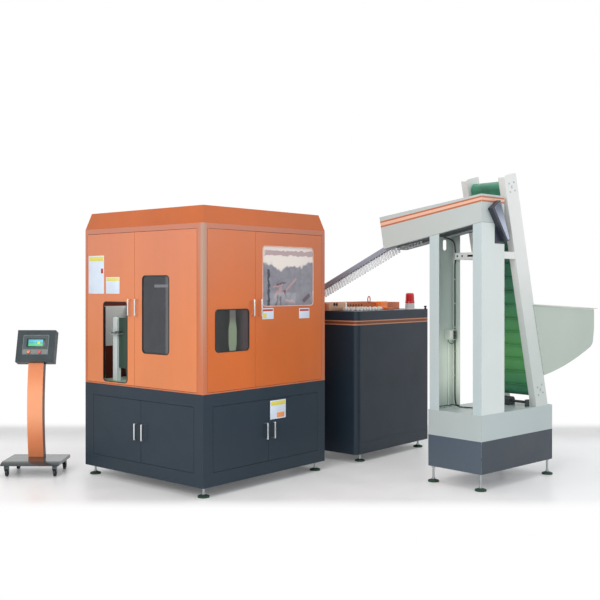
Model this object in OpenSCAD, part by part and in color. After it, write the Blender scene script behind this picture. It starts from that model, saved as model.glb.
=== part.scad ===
// Two-cavity stretch blow moulding line: blowing cabinet, preform oven, preform loader and console.
// All lengths are millimetres. The construction frame has its zero on the floor under the
// cabinet's near corner, with X along the line, Y into the depth and Z up. place() then moves
// the whole line so that the part's origin is the centre of its footprint on the floor.

/* [Cabinet casing] */
// Width of the cabinet along the line
cabinet_w = 1440; // [1400:10:1500]
// Depth of the cabinet
cabinet_d = 1450; // [1430:10:1500]
// Height of the cabinet's underside above the floor
cabinet_z = 80; // [70:5:100]
// Height of the joint between the dark base and the enclosure above
split_z = 780; // [770:5:800]
// Height of the eave, where the enclosure meets the roof hood
eave_z = 2070; // [2065:5:2100]
// Height of the roof hood
hood_h = 137; // [80:1:200]
// Slope inset of the roof hood at its top
hood_inset = 38; // [20:1:80]
// Sheet thickness of all casings
sheet = 3; // [2:0.5:4]
// Depth of the tube frame behind the door openings
frame_d = 34; // [30:1:45]

/* [Cabinet doors] */
// Depth of a door's folded edge
door_t = 20; // [16:1:24]
// Gap round each door
door_gap = 3; // [3:0.5:5]
// Radius of a door's pivot pin
pin_r = 3; // [2:0.5:4]
// Length of a pivot pin in its seat
pin_seat = 6; // [4:0.5:8]
// Running clearance of a pin or shaft in its bore
running = 0.05; // [0.03:0.01:0.08]
// Width of the casing beside the front doors at the near corner
front_post = 41; // [38:1:48]
// Width of the casing beside the end doors at the near corner
end_post = 67; // [60:1:75]
// Width of the casing at the far side of the end doors
far_post = 29; // [29:1:40]
// Width of the front left door
front_split = 524; // [500:1:560]
// Width of the near end door
end_split = 733; // [700:1:760]
// Height of the rail over the upper doors
top_rail = 40; // [36:1:60]
// Height of the rail under the upper doors
bottom_rail = 10; // [10:1:20]
// Distance of the lower doors from the cabinet's corners
low_side = 100; // [90:5:120]
// Height of the lower doors
low_door_h = 500; // [480:5:510]
// Height of the lower doors' opening above the cabinet's underside
low_door_up = 103; // [95:1:110]
// Offset of the lower door pair's seam along the opening, as a share of its width
low_seam = 0.5; // [0.48:0.01:0.52]
// Length of a door's pull handle
handle_l = 130; // [110:5:150]
// Height of a pull handle over the door
handle_out = 36; // [30:1:45]
// Width of a pull handle's flat bar
handle_w = 12; // [9:1:16]
// Thickness of a pull handle's flat bar
handle_bar = 7; // [5:0.5:9]
// Distance of a pull handle from the door's free edge
handle_in = 42; // [36:1:60]

/* [Cabinet windows] */
// Thickness of a window pane
pane_t = 4; // [3:0.5:6]
// Lap of a pane behind the door's sheet
pane_lap = 14; // [10:1:18]
// Corner radius of a window
window_r = 30; // [20:1:40]
// Width of the tall window in the near end door
tall_win_w = 316; // [280:2:340]
// Height of the tall window
tall_win_h = 613; // [560:1:660]
// Width of the small window in the front left door
small_win_w = 366; // [330:2:390]
// Height of the small window
small_win_h = 322; // [290:2:350]
// Width of the big window in the front right door
big_win_w = 630; // [580:2:660]
// Height of the big window
big_win_h = 484; // [440:2:500]
// Width of the open cut-out in the far end door
cutout_w = 310; // [280:2:330]
// Height of the open cut-out
cutout_h = 655; // [600:1:680]

/* [Blowing station] */
// Thickness of the machine bed plate
bed_t = 20; // [16:1:30]
// Distance of the station's centre from the cabinet's near corner along X
station_x = 770; // [750:2:790]
// Distance of the station's centre from the front along Y
station_y = 700; // [690:2:715]
// Distance between the two bottle cavities
pitch = 152; // [140:1:160]
// Radius of a bottle cavity
bottle_r = 45; // [36:1:50]
// Height of a bottle cavity up to its shoulder
bottle_h = 250; // [200:5:280]
// Height of a mould half
mould_h = 400; // [380:5:420]
// Width of a mould half
mould_w = 330; // [300:2:350]
// Thickness of a mould half
mould_t = 90; // [70:2:100]
// Travel of each mould half
mould_travel = 110; // [80:1:115]
// Thickness of a platen
platen_t = 32; // [26:1:40]
// Radius of a tie bar
tie_r = 20; // [16:1:24]
// Radius of a clamp ram
ram_r = 22; // [18:1:26]
// Travel of the stretch rods
stretch_travel = 170; // [120:5:180]
// Radius of a stretch rod
rod_r = 6; // [5:0.5:8]
// Side of a tower pillar
pillar = 80; // [60:5:90]

/* [Oven] */
// Distance of the oven's left side from the cabinet's near corner
oven_x = 1840; // [1800:5:1900]
// Distance of the oven's front behind the cabinet's front
oven_y = -50; // [-80:5:0]
// Length of the oven
oven_l = 1200; // [1160:10:1260]
// Depth of the oven
oven_d = 850; // [820:10:900]
// Height of the oven's underside above the floor
oven_z = 75; // [70:5:100]
// Height of the oven's top
oven_top = 1365; // [1300:5:1400]
// Corner radius of the oven casing
oven_r = 50; // [30:2:70]
// Distance between neighbouring preform carriers
carrier_pitch = 44; // [40:1:50]
// Height of the orange cover over the oven's top
cover_h = 66; // [50:2:90]

/* [Preform] */
// Radius of a preform's neck ring
ring_r = 16; // [14:0.5:18]
// Radius of a preform's body
preform_r = 11; // [9:0.5:12]
// Length of a preform below its neck ring
preform_l = 88; // [80:1:92]

/* [Loader] */
// Place of the loader's near corner along X
loader_x = 1574; // [1560:2:1600]
// Place of the loader's near corner along Y
loader_y = -1452; // [-1500:2:-1430]
// Turn of the loader about its near corner, in degrees
loader_turn = -6.8; // [-8:0.2:-5]
// Length of the loader's base
base_l = 1000; // [980:5:1040]
// Depth of the loader's base
base_d = 527; // [510:2:560]
// Height of the base's underside above the floor
base_z = 130; // [110:5:150]
// Height of the base's top
base_top = 590; // [570:5:620]
// Width of a column's web
column_w = 304; // [296:2:310]
// Depth of a column's flange
column_flange = 82; // [70:2:100]
// Depth of the far column's flange
far_flange = 97; // [90:1:130]
// Distance of the far column's web from the base's far side
far_in = 14; // [10:1:20]
// Length of the sorter box down its slope
sorter_l = 1064; // [1000:2:1100]
// Height of the sorter box's top over the floor at its near end
sorter_top = 2311; // [2300:2:2330]
// Depth of the sorter box's side at its near end
sorter_side = 221; // [215:1:230]
// Slope of the sorter box's underside, in degrees
sorter_slope = 10.1; // [9:0.1:11]
// Radius of a sorting roller
roller_r = 42; // [36:1:46]
// Length of the elevator rails along their slope
rail_l = 1938; // [1900:2:1970]
// Lean of the elevator rails from upright, in degrees
rail_lean = 13.8; // [13:0.1:14.5]
// Width of an elevator rail across its slope
rail_w = 168; // [150:1:175]
// Thickness of an elevator rail
rail_t = 58; // [50:2:70]
// Width of the elevator over its two rails
elevator_d = 424; // [400:4:470]
// Radius of the belt's drums
drum_r = 50; // [44:1:56]
// Thickness of the belt
belt_t = 4; // [3:0.5:6]
// Height of a belt cleat
cleat_h = 22; // [16:1:28]
// Distance between neighbouring cleats
cleat_pitch = 115; // [90:5:140]
// Reach of the hopper's rim from the loader's near corner
hopper_reach = 1765; // [1700:5:1850]
// Wall thickness of the hopper
hopper_t = 4; // [3:0.5:6]
// Slope of the preform chute, in degrees
chute_slope = 23.3; // [23:0.1:24]
// Length of the preform chute along its slope
chute_l = 1170; // [1150:5:1180]

/* [Console] */
// Place of the console's centre along X
console_x = -257; // [-400:1:-240]
// Place of the console's centre along Y
console_y = 1797; // [1760:1:1900]
// Turn of the console to face the operator, in degrees
console_turn = -49.4; // [-55:0.2:-45]
// Width of the console's base plate
plate_w = 490; // [440:5:540]
// Depth of the console's base plate
plate_d = 400; // [380:5:480]
// Height of the base plate's underside
plate_z = 96; // [92:1:110]
// Thickness of the base plate
plate_t = 26; // [20:1:32]
// Depth of the plate's rolled front edge
nose_l = 90; // [60:5:120]
// Width of the console's post
post_w = 132; // [110:2:170]
// Depth of the console's post
post_t = 70; // [50:2:80]
// Height of the console's post
post_h = 795; // [700:5:820]
// Distance of the post from the plate's middle, sideways
post_side = -22; // [-60:2:20]
// Distance of the post behind the plate's middle
post_back = 115; // [80:5:130]
// Width of the console box
box_w = 328; // [310:2:380]
// Height of the console box along its tilt
box_h = 284; // [270:2:320]
// Depth of the console box
box_d = 90; // [70:2:110]
// Tilt of the console box, in degrees
box_tilt = 18; // [12:1:25]
// Radius of a castor wheel
wheel_r = 31; // [26:1:34]

/* [Levelling feet] */
// Radius of a levelling foot's pad
pad_r = 45; // [36:1:50]
// Height of a pad's rim
pad_h = 12; // [8:1:16]
// Radius of a foot's threaded stud
stud_r = 8; // [6:0.5:10]

/* [Hidden] */
$fn = 48;

ORANGE = "#d9703c";
DARK = "#3c4852";
PALE = "#c9d3cd";
STEEL = "#b9bdc0";

// Foot inset from the sides of its module
foot_in = 60;
loader_foot_in = 30;
// Corner radii of the console's plate and the hopper's rim, and the rim's width
plate_r = 14;
rim_r = 60;
rim_w = 18;

// Footprint of the whole line, used to centre it
near_rail_y = 2;
hopper_near = near_rail_y - hopper_t;
hopper_far = near_rail_y + elevator_d + hopper_t;
function turned(p, a) = [p.x * cos(a) - p.y * sin(a), p.x * sin(a) + p.y * cos(a)];
plate_half = [plate_w / 2 - plate_r, plate_d / 2 - plate_r];
x_low = console_x - turned(plate_half, 90 - abs(console_turn)).y - plate_r;
y_high = console_y + turned(plate_half, abs(console_turn)).y + plate_r;
x_high = loader_x + turned([hopper_reach - rim_r, hopper_far + rim_w - rim_r], loader_turn).x + rim_r;
y_low = loader_y + turned([hopper_reach - rim_r, hopper_near - rim_w + rim_r], loader_turn).y - rim_r;
centre = [(x_low + x_high) / 2, (y_low + y_high) / 2];

// Smallest gap between pieces that slide on each other
slide_gap = 0.3;
// Distance of the oven's cover behind the oven's front
cover_y = 360;
// Opening in the cabinet's right side where the oven's cover brings the hot preforms in
transfer_y = oven_y + cover_y + 20;
transfer_w = oven_d - cover_y - 70;
transfer_z = oven_top + 10;
transfer_h = 160;
// Where the chute's lower end comes down, in the oven's frame
chute_y = 975;
chute_end = turned([column_w / 2, chute_y + (chute_l - 30) * cos(chute_slope)], loader_turn);
infeed = [loader_x + chute_end.x - oven_x, loader_y + chute_end.y - oven_y];
sorter_bottom = sorter_top - sorter_side;
// Near face of the far elevator rail
far_rail_y = near_rail_y + elevator_d - rail_t;

module place() translate([-centre.x, -centre.y, 0]) children();
module at_oven() place() translate([oven_x, oven_y, 0]) children();
module at_loader() place() translate([loader_x, loader_y, 0]) rotate(loader_turn) children();
module at_console() place() translate([console_x, console_y, 0]) rotate(console_turn) children();

// Flat shapes shared by several pieces
module round_rect(w, h, r) {
    translate([r, 0]) square([w - 2 * r, h]);
    translate([0, r]) square([w, h - 2 * r]);
    for (x = [r, w - r], y = [r, h - r])
        translate([x, y]) circle(r);
}

// Upright plate in the XZ plane with its front at y = 0
module upright(t) translate([0, t, 0]) rotate([90, 0, 0]) linear_extrude(t) children();

module open_tube(w, d, h, t) difference() {
    cube([w, d, h]);
    translate([t, t, -1]) cube([w - 2 * t, d - 2 * t, h + 2]);
}

// Doors
low_z = cabinet_z + low_door_up;
up_z = split_z + bottom_rail;
up_h = eave_z - top_rail - up_z;
front_open_w = cabinet_w - front_post - top_rail;
end_open_w = cabinet_d - end_post - far_post;
front_low_w = cabinet_w - 2 * low_side;
end_low_w = cabinet_d - low_side - 1.1 * low_side;
pin_in = pin_r + 2;

// Bent flat bar with two legs, standing out towards -Y, its middle at the origin
module pull_handle() {
    translate([-handle_w / 2, 0, -handle_l / 2]) rotate([90, 0, 90]) linear_extrude(handle_w) difference() {
        translate([-handle_out, 0]) bar_outline(handle_out, handle_l, 10);
        translate([-handle_out + handle_bar, handle_bar]) bar_outline(handle_out, handle_l - 2 * handle_bar, 6);
    }
}
// Rectangle with only its two outer corners rounded
module bar_outline(w, h, r) {
    translate([r, 0]) square([w - r, h]);
    translate([0, r]) square([w, h - 2 * r]);
    for (y = [r, h - r]) translate([r, y]) circle(r);
}

// Folded sheet door, hinged at x = 0, front at y = 0; children cut its front sheet
module door(w, h, handle_z) {
    difference() {
        cube([w, door_t, h]);
        translate([sheet, sheet, sheet]) cube([w - 2 * sheet, door_t, h - 2 * sheet]);
        children();
    }
    translate([pin_in, pin_in, 0]) {
        translate([0, 0, -door_gap - pin_seat]) cylinder(r = pin_r, h = door_gap + pin_seat + sheet);
        translate([0, 0, h - sheet]) cylinder(r = pin_r, h = door_gap + pin_seat + sheet);
    }
    translate([w - handle_in, 0, handle_z]) pull_handle();
}

// Places of the eight doors: each is drawn with its hinge at the left of its front
module on_front(x, z, flip) translate([x, 0, z]) mirror([flip, 0, 0]) children();
module on_end(y, z, flip) translate([0, y, z]) rotate(-90) mirror([flip, 0, 0]) children();

// Seats of a pair of doors' pivot pins, cut in the rails above and below the opening
module pin_bores(w, h) for (x = [door_gap + pin_in, w - door_gap - pin_in], z = [-pin_seat - 1, h - 1])
    translate([x, pin_in, z]) cylinder(r = pin_r + running, h = pin_seat + 2);

front_left_w = front_split - 1.5 * door_gap;
front_right_w = front_open_w - front_split - 1.5 * door_gap;
end_near_w = end_split - 1.5 * door_gap;
end_far_w = end_open_w - end_split - 1.5 * door_gap;
up_door_h = up_h - 2 * door_gap;
low_door_hh = low_door_h - 2 * door_gap;
front_low_left_w = front_low_w * low_seam - 1.5 * door_gap;
front_low_right_w = front_low_w * (1 - low_seam) - 1.5 * door_gap;
end_low_near_w = end_low_w * low_seam - 1.5 * door_gap;
end_low_far_w = end_low_w * (1 - low_seam) - 1.5 * door_gap;
up_handle_z = 630;
low_handle_z = 245;

module lower_cabinet() color(DARK) place() {
    h = split_z - cabinet_z;
    difference() {
        union() {
            translate([0, 0, cabinet_z]) difference() {
                cube([cabinet_w, cabinet_d, h]);
                translate([sheet, sheet, sheet])
                    cube([cabinet_w - 2 * sheet, cabinet_d - 2 * sheet, h - 2 * sheet]);
            }
            // Tube frame behind each opening
            translate([low_side - frame_d, 1, low_z - frame_d])
                cube([front_low_w + 2 * frame_d, frame_d, low_door_h + 2 * frame_d]);
            translate([1, low_side - frame_d, low_z - frame_d])
                cube([frame_d, end_low_w + 2 * frame_d, low_door_h + 2 * frame_d]);
        }
        translate([low_side, -1, low_z]) cube([front_low_w, frame_d + 3, low_door_h]);
        translate([-1, low_side, low_z]) cube([frame_d + 3, end_low_w, low_door_h]);
        on_front(low_side, low_z, 0) pin_bores(front_low_w, low_door_h);
        on_end(low_side + end_low_w, low_z, 0) pin_bores(end_low_w, low_door_h);
    }
}

module upper_cabinet() color(ORANGE) place() difference() {
    union() {
        for (z = [[split_z, bottom_rail], [eave_z - top_rail, top_rail]])
            translate([0, 0, z[0]]) difference() {
                cube([cabinet_w, cabinet_d, z[1]]);
                translate([frame_d, frame_d, -1])
                    cube([cabinet_w - 2 * frame_d, cabinet_d - 2 * frame_d, z[1] + 2]);
            }
        translate([0, 0, split_z]) {
            h = eave_z - split_z;
            open_tube(front_post, end_post, h, sheet);
            translate([cabinet_w - top_rail, 0, 0]) open_tube(top_rail, end_post, h, sheet);
            translate([0, cabinet_d - far_post, 0]) open_tube(end_post, far_post, h, sheet);
            translate([cabinet_w - top_rail, cabinet_d - far_post, 0]) open_tube(top_rail, far_post, h, sheet);
            // Back and right panels
            translate([end_post - 1, cabinet_d - sheet, 0])
                cube([cabinet_w - end_post - top_rail + 2, sheet, h]);
            difference() {
                translate([cabinet_w - sheet, end_post - 1, 0])
                    cube([sheet, cabinet_d - end_post - far_post + 2, h]);
                translate([cabinet_w - 2 * sheet, transfer_y, transfer_z - split_z])
                    cube([3 * sheet, transfer_w, transfer_h]);
            }
        }
    }
    on_front(front_post, up_z, 0) pin_bores(front_open_w, up_h);
    on_end(end_post + end_open_w, up_z, 0) pin_bores(end_open_w, up_h);
}

// Hollow frustum: two trapezoids crossed, with the same inside lower by the sheet
module hood_form(grow, h) intersection() {
    translate([0, cabinet_d, 0]) rotate([90, 0, 0]) linear_extrude(cabinet_d)
        polygon([[grow, 0], [cabinet_w - grow, 0], [cabinet_w - hood_inset - grow, h], [hood_inset + grow, h]]);
    rotate([90, 0, 90]) linear_extrude(cabinet_w)
        polygon([[grow, 0], [cabinet_d - grow, 0], [cabinet_d - hood_inset - grow, h], [hood_inset + grow, h]]);
}
module roof_hood() color(ORANGE) place() translate([0, 0, eave_z]) difference() {
    hood_form(0, hood_h);
    translate([0, 0, -0.01]) hood_form(sheet, hood_h - sheet);
}

module foot(top) {
    rotate_extrude() polygon([[0, 0], [pad_r, 0], [pad_r, pad_h], [stud_r + 9, pad_h + 10], [0, pad_h + 10]]);
    cylinder(r = stud_r, h = top);
    translate([0, 0, top - 14]) cylinder(r = stud_r + 6, h = 14, $fn = 6);
}
module levelling_feet() {
    color("#2f4038") place() {
        for (x = [foot_in, cabinet_w - foot_in], y = [foot_in, cabinet_d - foot_in])
            translate([x, y, 0]) foot(cabinet_z);
        translate([oven_x, oven_y, 0])
            for (x = [2 * foot_in, oven_l - 2 * foot_in], y = [foot_in, oven_d - foot_in])
                translate([x, y, 0]) foot(oven_z);
    }
    color("#2f4038") at_loader()
        for (x = [loader_foot_in, base_l - loader_foot_in], y = [loader_foot_in, base_d - loader_foot_in])
            translate([x, y, 0]) foot(base_z);
}

module front_base_door_left() color(DARK) place()
    on_front(low_side + door_gap, low_z + door_gap, 0) door(front_low_left_w, low_door_hh, low_handle_z);
module front_base_door_right() color(DARK) place()
    on_front(low_side + front_low_w - door_gap, low_z + door_gap, 1)
        door(front_low_right_w, low_door_hh, low_handle_z);
module end_base_door_near() color(DARK) place()
    on_end(low_side + door_gap, low_z + door_gap, 1) door(end_low_near_w, low_door_hh, low_handle_z);
module end_base_door_far() color(DARK) place()
    on_end(low_side + end_low_w - door_gap, low_z + door_gap, 0) door(end_low_far_w, low_door_hh, low_handle_z);

// Window places in a door's own frame: distance from the hinge, and height over the door's foot
tall_win = [end_near_w - 99 - tall_win_w, 269];
small_win = [82, 299];
big_win = [115, 639];
cutout = [216, 15];

module window_cut(at, w, h) translate([at.x, -1, at.y]) upright(sheet + 2) round_rect(w, h, window_r);
module pane(at, w, h) translate([at.x - pane_lap, sheet, at.y - pane_lap]) upright(pane_t)
    round_rect(w + 2 * pane_lap, h + 2 * pane_lap, window_r + pane_lap);

module near_end_place() place() on_end(end_post + door_gap, up_z + door_gap, 1) children();
module far_end_place() place() on_end(end_post + end_open_w - door_gap, up_z + door_gap, 0) children();
module left_front_place() place() on_front(front_post + door_gap, up_z + door_gap, 0) children();
module right_front_place() place() on_front(front_post + front_open_w - door_gap, up_z + door_gap, 1) children();

module end_door_near() color(ORANGE) near_end_place()
    door(end_near_w, up_door_h, up_handle_z) window_cut(tall_win, tall_win_w, tall_win_h);
module end_door_far() color(ORANGE) far_end_place()
    door(end_far_w, up_door_h, up_handle_z) window_cut(cutout, cutout_w, cutout_h);
module front_door_left() color(ORANGE) left_front_place()
    door(front_left_w, up_door_h, up_handle_z) window_cut(small_win, small_win_w, small_win_h);
module front_door_right() color(ORANGE) right_front_place()
    door(front_right_w, up_door_h, up_handle_z) window_cut(big_win, big_win_w, big_win_h);
module tall_window() color("#3a3f44", 0.6) near_end_place() pane(tall_win, tall_win_w, tall_win_h);
module small_window() color("#3a3f44", 0.6) left_front_place() pane(small_win, small_win_w, small_win_h);
module big_window() color("#c0c6cc", 0.4) right_front_place() pane(big_win, big_win_w, big_win_h);

// Blowing station
bed_z = split_z + bed_t;
mould_z = bed_z + 100;
tie_dx = mould_w / 2 + 90;
tie_zs = [mould_z + 50, mould_z + mould_h - 50];
rest_gap = mould_travel + 0.3;
end_platen_y = 185;
end_platen_w = 2 * tie_dx + 130;
end_platen_h = mould_h + 130;
moving_y = station_y - rest_gap - mould_t - platen_t;
ram_zs = (tie_zs[0] + tie_zs[1]) / 2;
barrel_l = mould_travel + 12;

module machine_bed() color("#9db3a5") place() {
    translate([bed_in, bed_in, split_z]) cube([cabinet_w - 2 * bed_in, cabinet_d - 2 * bed_in, bed_t]);
    // Guide barrel of the base mould
    translate([station_x, station_y, bed_z]) difference() {
        cylinder(r = 30, h = 44);
        translate([0, 0, 2]) cylinder(r = 14 + running, h = 43);
    }
    // Guard posts with a dark panel between them, and the pale sheet on the back wall
    for (y = guard_ys) translate([guard_x, y, bed_z]) open_tube(40, guard_post, guard_h, sheet);
    translate([guard_x + 17, guard_ys[0] + guard_post - 1, bed_z + 110])
        cube([6, guard_ys[1] - guard_ys[0] - guard_post + 2, guard_h - 110]);
    translate([guard_x - 40, guard_ys[1] - 60, bed_z + 395]) cube([62, 90, 12]);
    for (x = [130, 430]) translate([x, cabinet_d - bed_in - 20, bed_z]) cube([20, bed_in + 20 - sheet, 620]);
    translate([130, cabinet_d - 2 * sheet, bed_z + 275]) cube([320, sheet, 345]);
}
bed_in = 60;
guard_x = 100;
guard_post = 56;
guard_ys = [880, 1150];
guard_h = 533;

module platen_holes() for (s = [-1, 1], z = tie_zs)
    translate([station_x + s * tie_dx, 0, z]) rotate([-90, 0, 0]) cylinder(r = tie_r + running, h = cabinet_d);

module end_platen(y) translate([station_x - end_platen_w / 2, y, bed_z])
    cube([end_platen_w, platen_t, end_platen_h]);

module clamp_frame() color("#8f9aa0") place() {
    far_y = 2 * station_y - end_platen_y;
    difference() {
        union() {
            end_platen(end_platen_y - platen_t);
            end_platen(far_y);
            // Ram barrels behind the end platens
            for (y = [end_platen_y - platen_t - barrel_l, far_y + platen_t])
                translate([station_x, y, ram_zs]) rotate([-90, 0, 0]) cylinder(r = ram_r + 18, h = barrel_l);
        }
        translate([station_x, end_platen_y - platen_t - barrel_l + 8, ram_zs])
            rotate([-90, 0, 0]) cylinder(r = ram_r + running, h = barrel_l + platen_t);
        translate([station_x, far_y - 1, ram_zs])
            rotate([-90, 0, 0]) cylinder(r = ram_r + running, h = barrel_l + platen_t - 7);
    }
    for (s = [-1, 1], z = tie_zs) translate([station_x + s * tie_dx, end_platen_y - 1, z])
        rotate([-90, 0, 0]) cylinder(r = tie_r, h = far_y - end_platen_y + 2);
}

// Bottle: half of it is cut in each mould half
module bottle_form() rotate_extrude() polygon([
    [0, -1], [bottle_r + 3, -1], [bottle_r + 3, 45], [bottle_r, 46], [bottle_r, 90], [bottle_r - 4, 96],
    [bottle_r, 102], [bottle_r, 150], [bottle_r - 4, 156], [bottle_r, 162], [bottle_r, bottle_h],
    [bottle_r - 10, bottle_h + 40], [ring_r + 4, bottle_h + 75], [preform_r + 3, bottle_h + 85],
    [preform_r + 3, mould_h + 1], [0, mould_h + 1]
]);

// Moving platen, mould half and ram; drawn for the front, opening away from +Y
module mould_side() {
    difference() {
        union() {
            translate([station_x - end_platen_w / 2 + 10, moving_y, mould_z - 60])
                cube([end_platen_w - 20, platen_t, mould_h + 50]);
            translate([station_x - mould_w / 2, moving_y + platen_t, mould_z])
                cube([mould_w, mould_t, mould_h]);
        }
        platen_holes();
        for (s = [-0.5, 0.5]) translate([station_x + s * pitch, station_y - rest_gap, mould_z]) bottle_form();
    }
    translate([station_x, end_platen_y - platen_t - barrel_l + 8 + 4, ram_zs]) rotate([-90, 0, 0])
        cylinder(r = ram_r, h = moving_y - end_platen_y + platen_t + barrel_l - 12 + 1);
}
module front_mould() color(STEEL) place() mould_side();
module rear_mould() color(STEEL) place() translate([0, 2 * station_y, 0]) mirror([0, 1, 0]) mould_side();

module base_mould() color(STEEL) place() translate([station_x, station_y, 0]) {
    translate([-pitch / 2 - bottle_r, -bottle_r, bed_z + 46]) cube([pitch + 2 * bottle_r, 2 * bottle_r, 18]);
    translate([0, 0, bed_z + 4]) cylinder(r = 14, h = 43);
    for (s = [-0.5, 0.5]) translate([s * pitch, 0, bed_z + 63]) cylinder(r = bottle_r, h = 34);
}

tower_z = 1660;
pillar_dx = end_platen_w / 2 + 12;
pillar_y = [400, 920];
module stretch_tower() color("#b7c8b9") place() {
    difference() {
        union() {
            for (s = [-1, 1], y = pillar_y)
                translate([station_x + (s > 0 ? pillar_dx : -pillar_dx - pillar), y, bed_z])
                    open_tube(pillar, pillar, tower_z - bed_z, 2 * sheet);
            translate([station_x - pillar_dx - pillar, pillar_y[0], tower_z])
                cube([2 * (pillar_dx + pillar), pillar_y[1] - pillar_y[0] + pillar, bed_t]);
            for (s = [-0.5, 0.5]) translate([station_x + s * pitch, station_y, tower_z])
                cylinder(r = 34, h = stretch_travel + 60);
        }
        for (s = [-0.5, 0.5]) translate([station_x + s * pitch, station_y, tower_z - 1])
            cylinder(r = 12 + running, h = stretch_travel + 41);
        for (s = [-1, 1]) translate([station_x + s * 130, station_y, tower_z - 1])
            cylinder(r = 10 + running, h = bed_t + 2);
    }
    // Transfer rail between the two near pillars
    translate([station_x - pillar_dx - pillar, pillar_y[0] + pillar, arm_z])
        cube([2 * (pillar_dx + pillar), 30, 40]);
}

carriage_z = tower_z - 60;
module stretch_carriage() color(STEEL) place() translate([station_x, station_y, 0]) {
    translate([-150, -50, carriage_z]) cube([300, 100, 22]);
    for (s = [-0.5, 0.5]) translate([s * pitch, 0, 0]) {
        translate([0, 0, carriage_z + 21]) cylinder(r = 12, h = tower_z - carriage_z + stretch_travel + 10);
        translate([0, 0, arm_z - 19]) cylinder(r = rod_r, h = carriage_z - arm_z + 20);
    }
    for (s = [-1, 1]) translate([s * 130, 0, carriage_z + 21]) cylinder(r = 10, h = stretch_travel + 100);
}

arm_z = 1440;
module transfer_arm() color("#c98f7c") place() {
    rail_y = pillar_y[0] + pillar;
    translate([station_x - pitch, rail_y + 30 + slide_gap, arm_z - 30]) cube([pitch + 60, 12, 100]);
    translate([station_x - pitch, rail_y + 4, arm_z + 40 + slide_gap]) cube([pitch + 60, 30, 12]);
    // Two open-ended fork fingers that reach under the preforms' neck rings
    for (s = [-0.5, 0.5]) translate([station_x + s * pitch, 0, 0]) difference() {
        translate([-28, rail_y + 30 + slide_gap, arm_z - 30]) cube([56, station_y - rail_y - 10, 10]);
        translate([0, station_y, arm_z - 31]) cylinder(r = preform_r + 7, h = 12);
        translate([-preform_r - 7, station_y, arm_z - 31]) cube([2 * (preform_r + 7), 60, 12]);
    }
}

module air_receiver() color("#6f7f8a") place() translate([870, 900, cabinet_z + sheet]) {
    translate([0, 0, 200]) rotate([0, 90, 0]) rotate_extrude() polygon(concat(
        [[0, -360], [0, 360]],
        [for (a = [90:-15:0]) [150 * cos(a), 300 + 60 * sin(a)]],
        [for (a = [0:-15:-90]) [150 * cos(a), -300 + 60 * sin(a)]]
    ));
    for (x = [-220, 180]) translate([x, -110, 0]) difference() {
        cube([40, 220, 110]);
        translate([-1, 110, 200]) rotate([0, 90, 0]) cylinder(r = 149.9, h = 42);
    }
}
module electric_panel() color("#8b9398") place() translate([150, 300, cabinet_z + sheet]) {
    translate([0, 300, 0]) cube([1100, 20, 600]);
    for (r = [0, 1], i = [0:6]) translate([60 + i * 145, 220 - 20 * r, 120 + r * 230])
        cube([110 - 30 * r, 81 + 20 * r, 130]);
    for (z = [60, 290, 520]) translate([20, 270, z]) cube([1060, 31, 40]);
}

// Oven
module oven_casing() color(DARK) at_oven() translate([0, 0, oven_z]) {
    h = oven_top - oven_z;
    difference() {
        linear_extrude(h) round_rect(oven_l, oven_d, oven_r);
        translate([sheet, sheet, 4 * sheet]) linear_extrude(h - 4 * sheet - 2 * sheet)
            round_rect(oven_l - 2 * sheet, oven_d - 2 * sheet, oven_r - sheet);
        // Loop-shaped slot that the carriers travel in
        translate([0, 0, h - 3 * sheet]) linear_extrude(4 * sheet) difference() {
            loop_form(slot_r + 16);
            loop_form(slot_r - 16);
        }
        // Shadow line over the plinth
        translate([0, 0, 100]) linear_extrude(6) difference() {
            translate([-1, -1]) square([oven_l + 2, oven_d + 2]);
            translate([1.5, 1.5]) round_rect(oven_l - 3, oven_d - 3, oven_r - 1.5);
        }
    }
    // Deck under the slot carries the track
    translate([60, 60, h - 60]) cube([oven_l - 120, 360, 20]);
    for (x = [100, oven_l - 140]) translate([x, 20, h - 100]) cube([40, oven_d - 40, 40.01]);
    for (x = [100, oven_l - 140], y = [1, oven_d - 21]) translate([x, y, h - 100]) cube([40, 20, 40.01]);
    translate([(slot_x[0] + slot_x[1]) / 2 - 20, slot_y - 40, h - 41]) cube([40, 80, 41 - 2 * sheet]);
}

slot_y = 210;
slot_r = 90;
slot_x = [slot_r + 140, 510];
module loop_form(r) {
    for (x = slot_x) translate([x, slot_y]) circle(r);
    translate([slot_x[0], slot_y - r]) square([slot_x[1] - slot_x[0], 2 * r]);
}

// Carriers on a chain: position along the loop, counted from the near left
straight = slot_x[1] - slot_x[0];
loop_length = 2 * straight + 2 * PI * slot_r;
carrier_count = floor(loop_length / carrier_pitch);
function on_loop(s) =
    s < straight ? [slot_x[0] + s, slot_y - slot_r]
    : s < straight + PI * slot_r
        ? let (a = (s - straight) / slot_r * 180 / PI - 90)
            [slot_x[1] + slot_r * cos(a), slot_y + slot_r * sin(a)]
    : s < 2 * straight + PI * slot_r ? [slot_x[1] - (s - straight - PI * slot_r), slot_y + slot_r]
    : let (a = (s - 2 * straight - PI * slot_r) / slot_r * 180 / PI + 90)
        [slot_x[0] + slot_r * cos(a), slot_y + slot_r * sin(a)];

module carrier_chain() color("#e6e4df") at_oven() translate([0, 0, oven_top]) {
    for (i = [0:carrier_count - 1]) translate(on_loop(i * loop_length / carrier_count)) {
        translate([0, 0, -40]) cylinder(r = 9, h = 60);
        translate([0, 0, 8]) cylinder(r = 15, h = 14);
        translate([0, 0, 20]) cylinder(r = 11, h = 12);
    }
    translate([0, 0, -20]) linear_extrude(10) difference() {
        loop_form(slot_r + 5);
        loop_form(slot_r - 5);
    }
}

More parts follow.
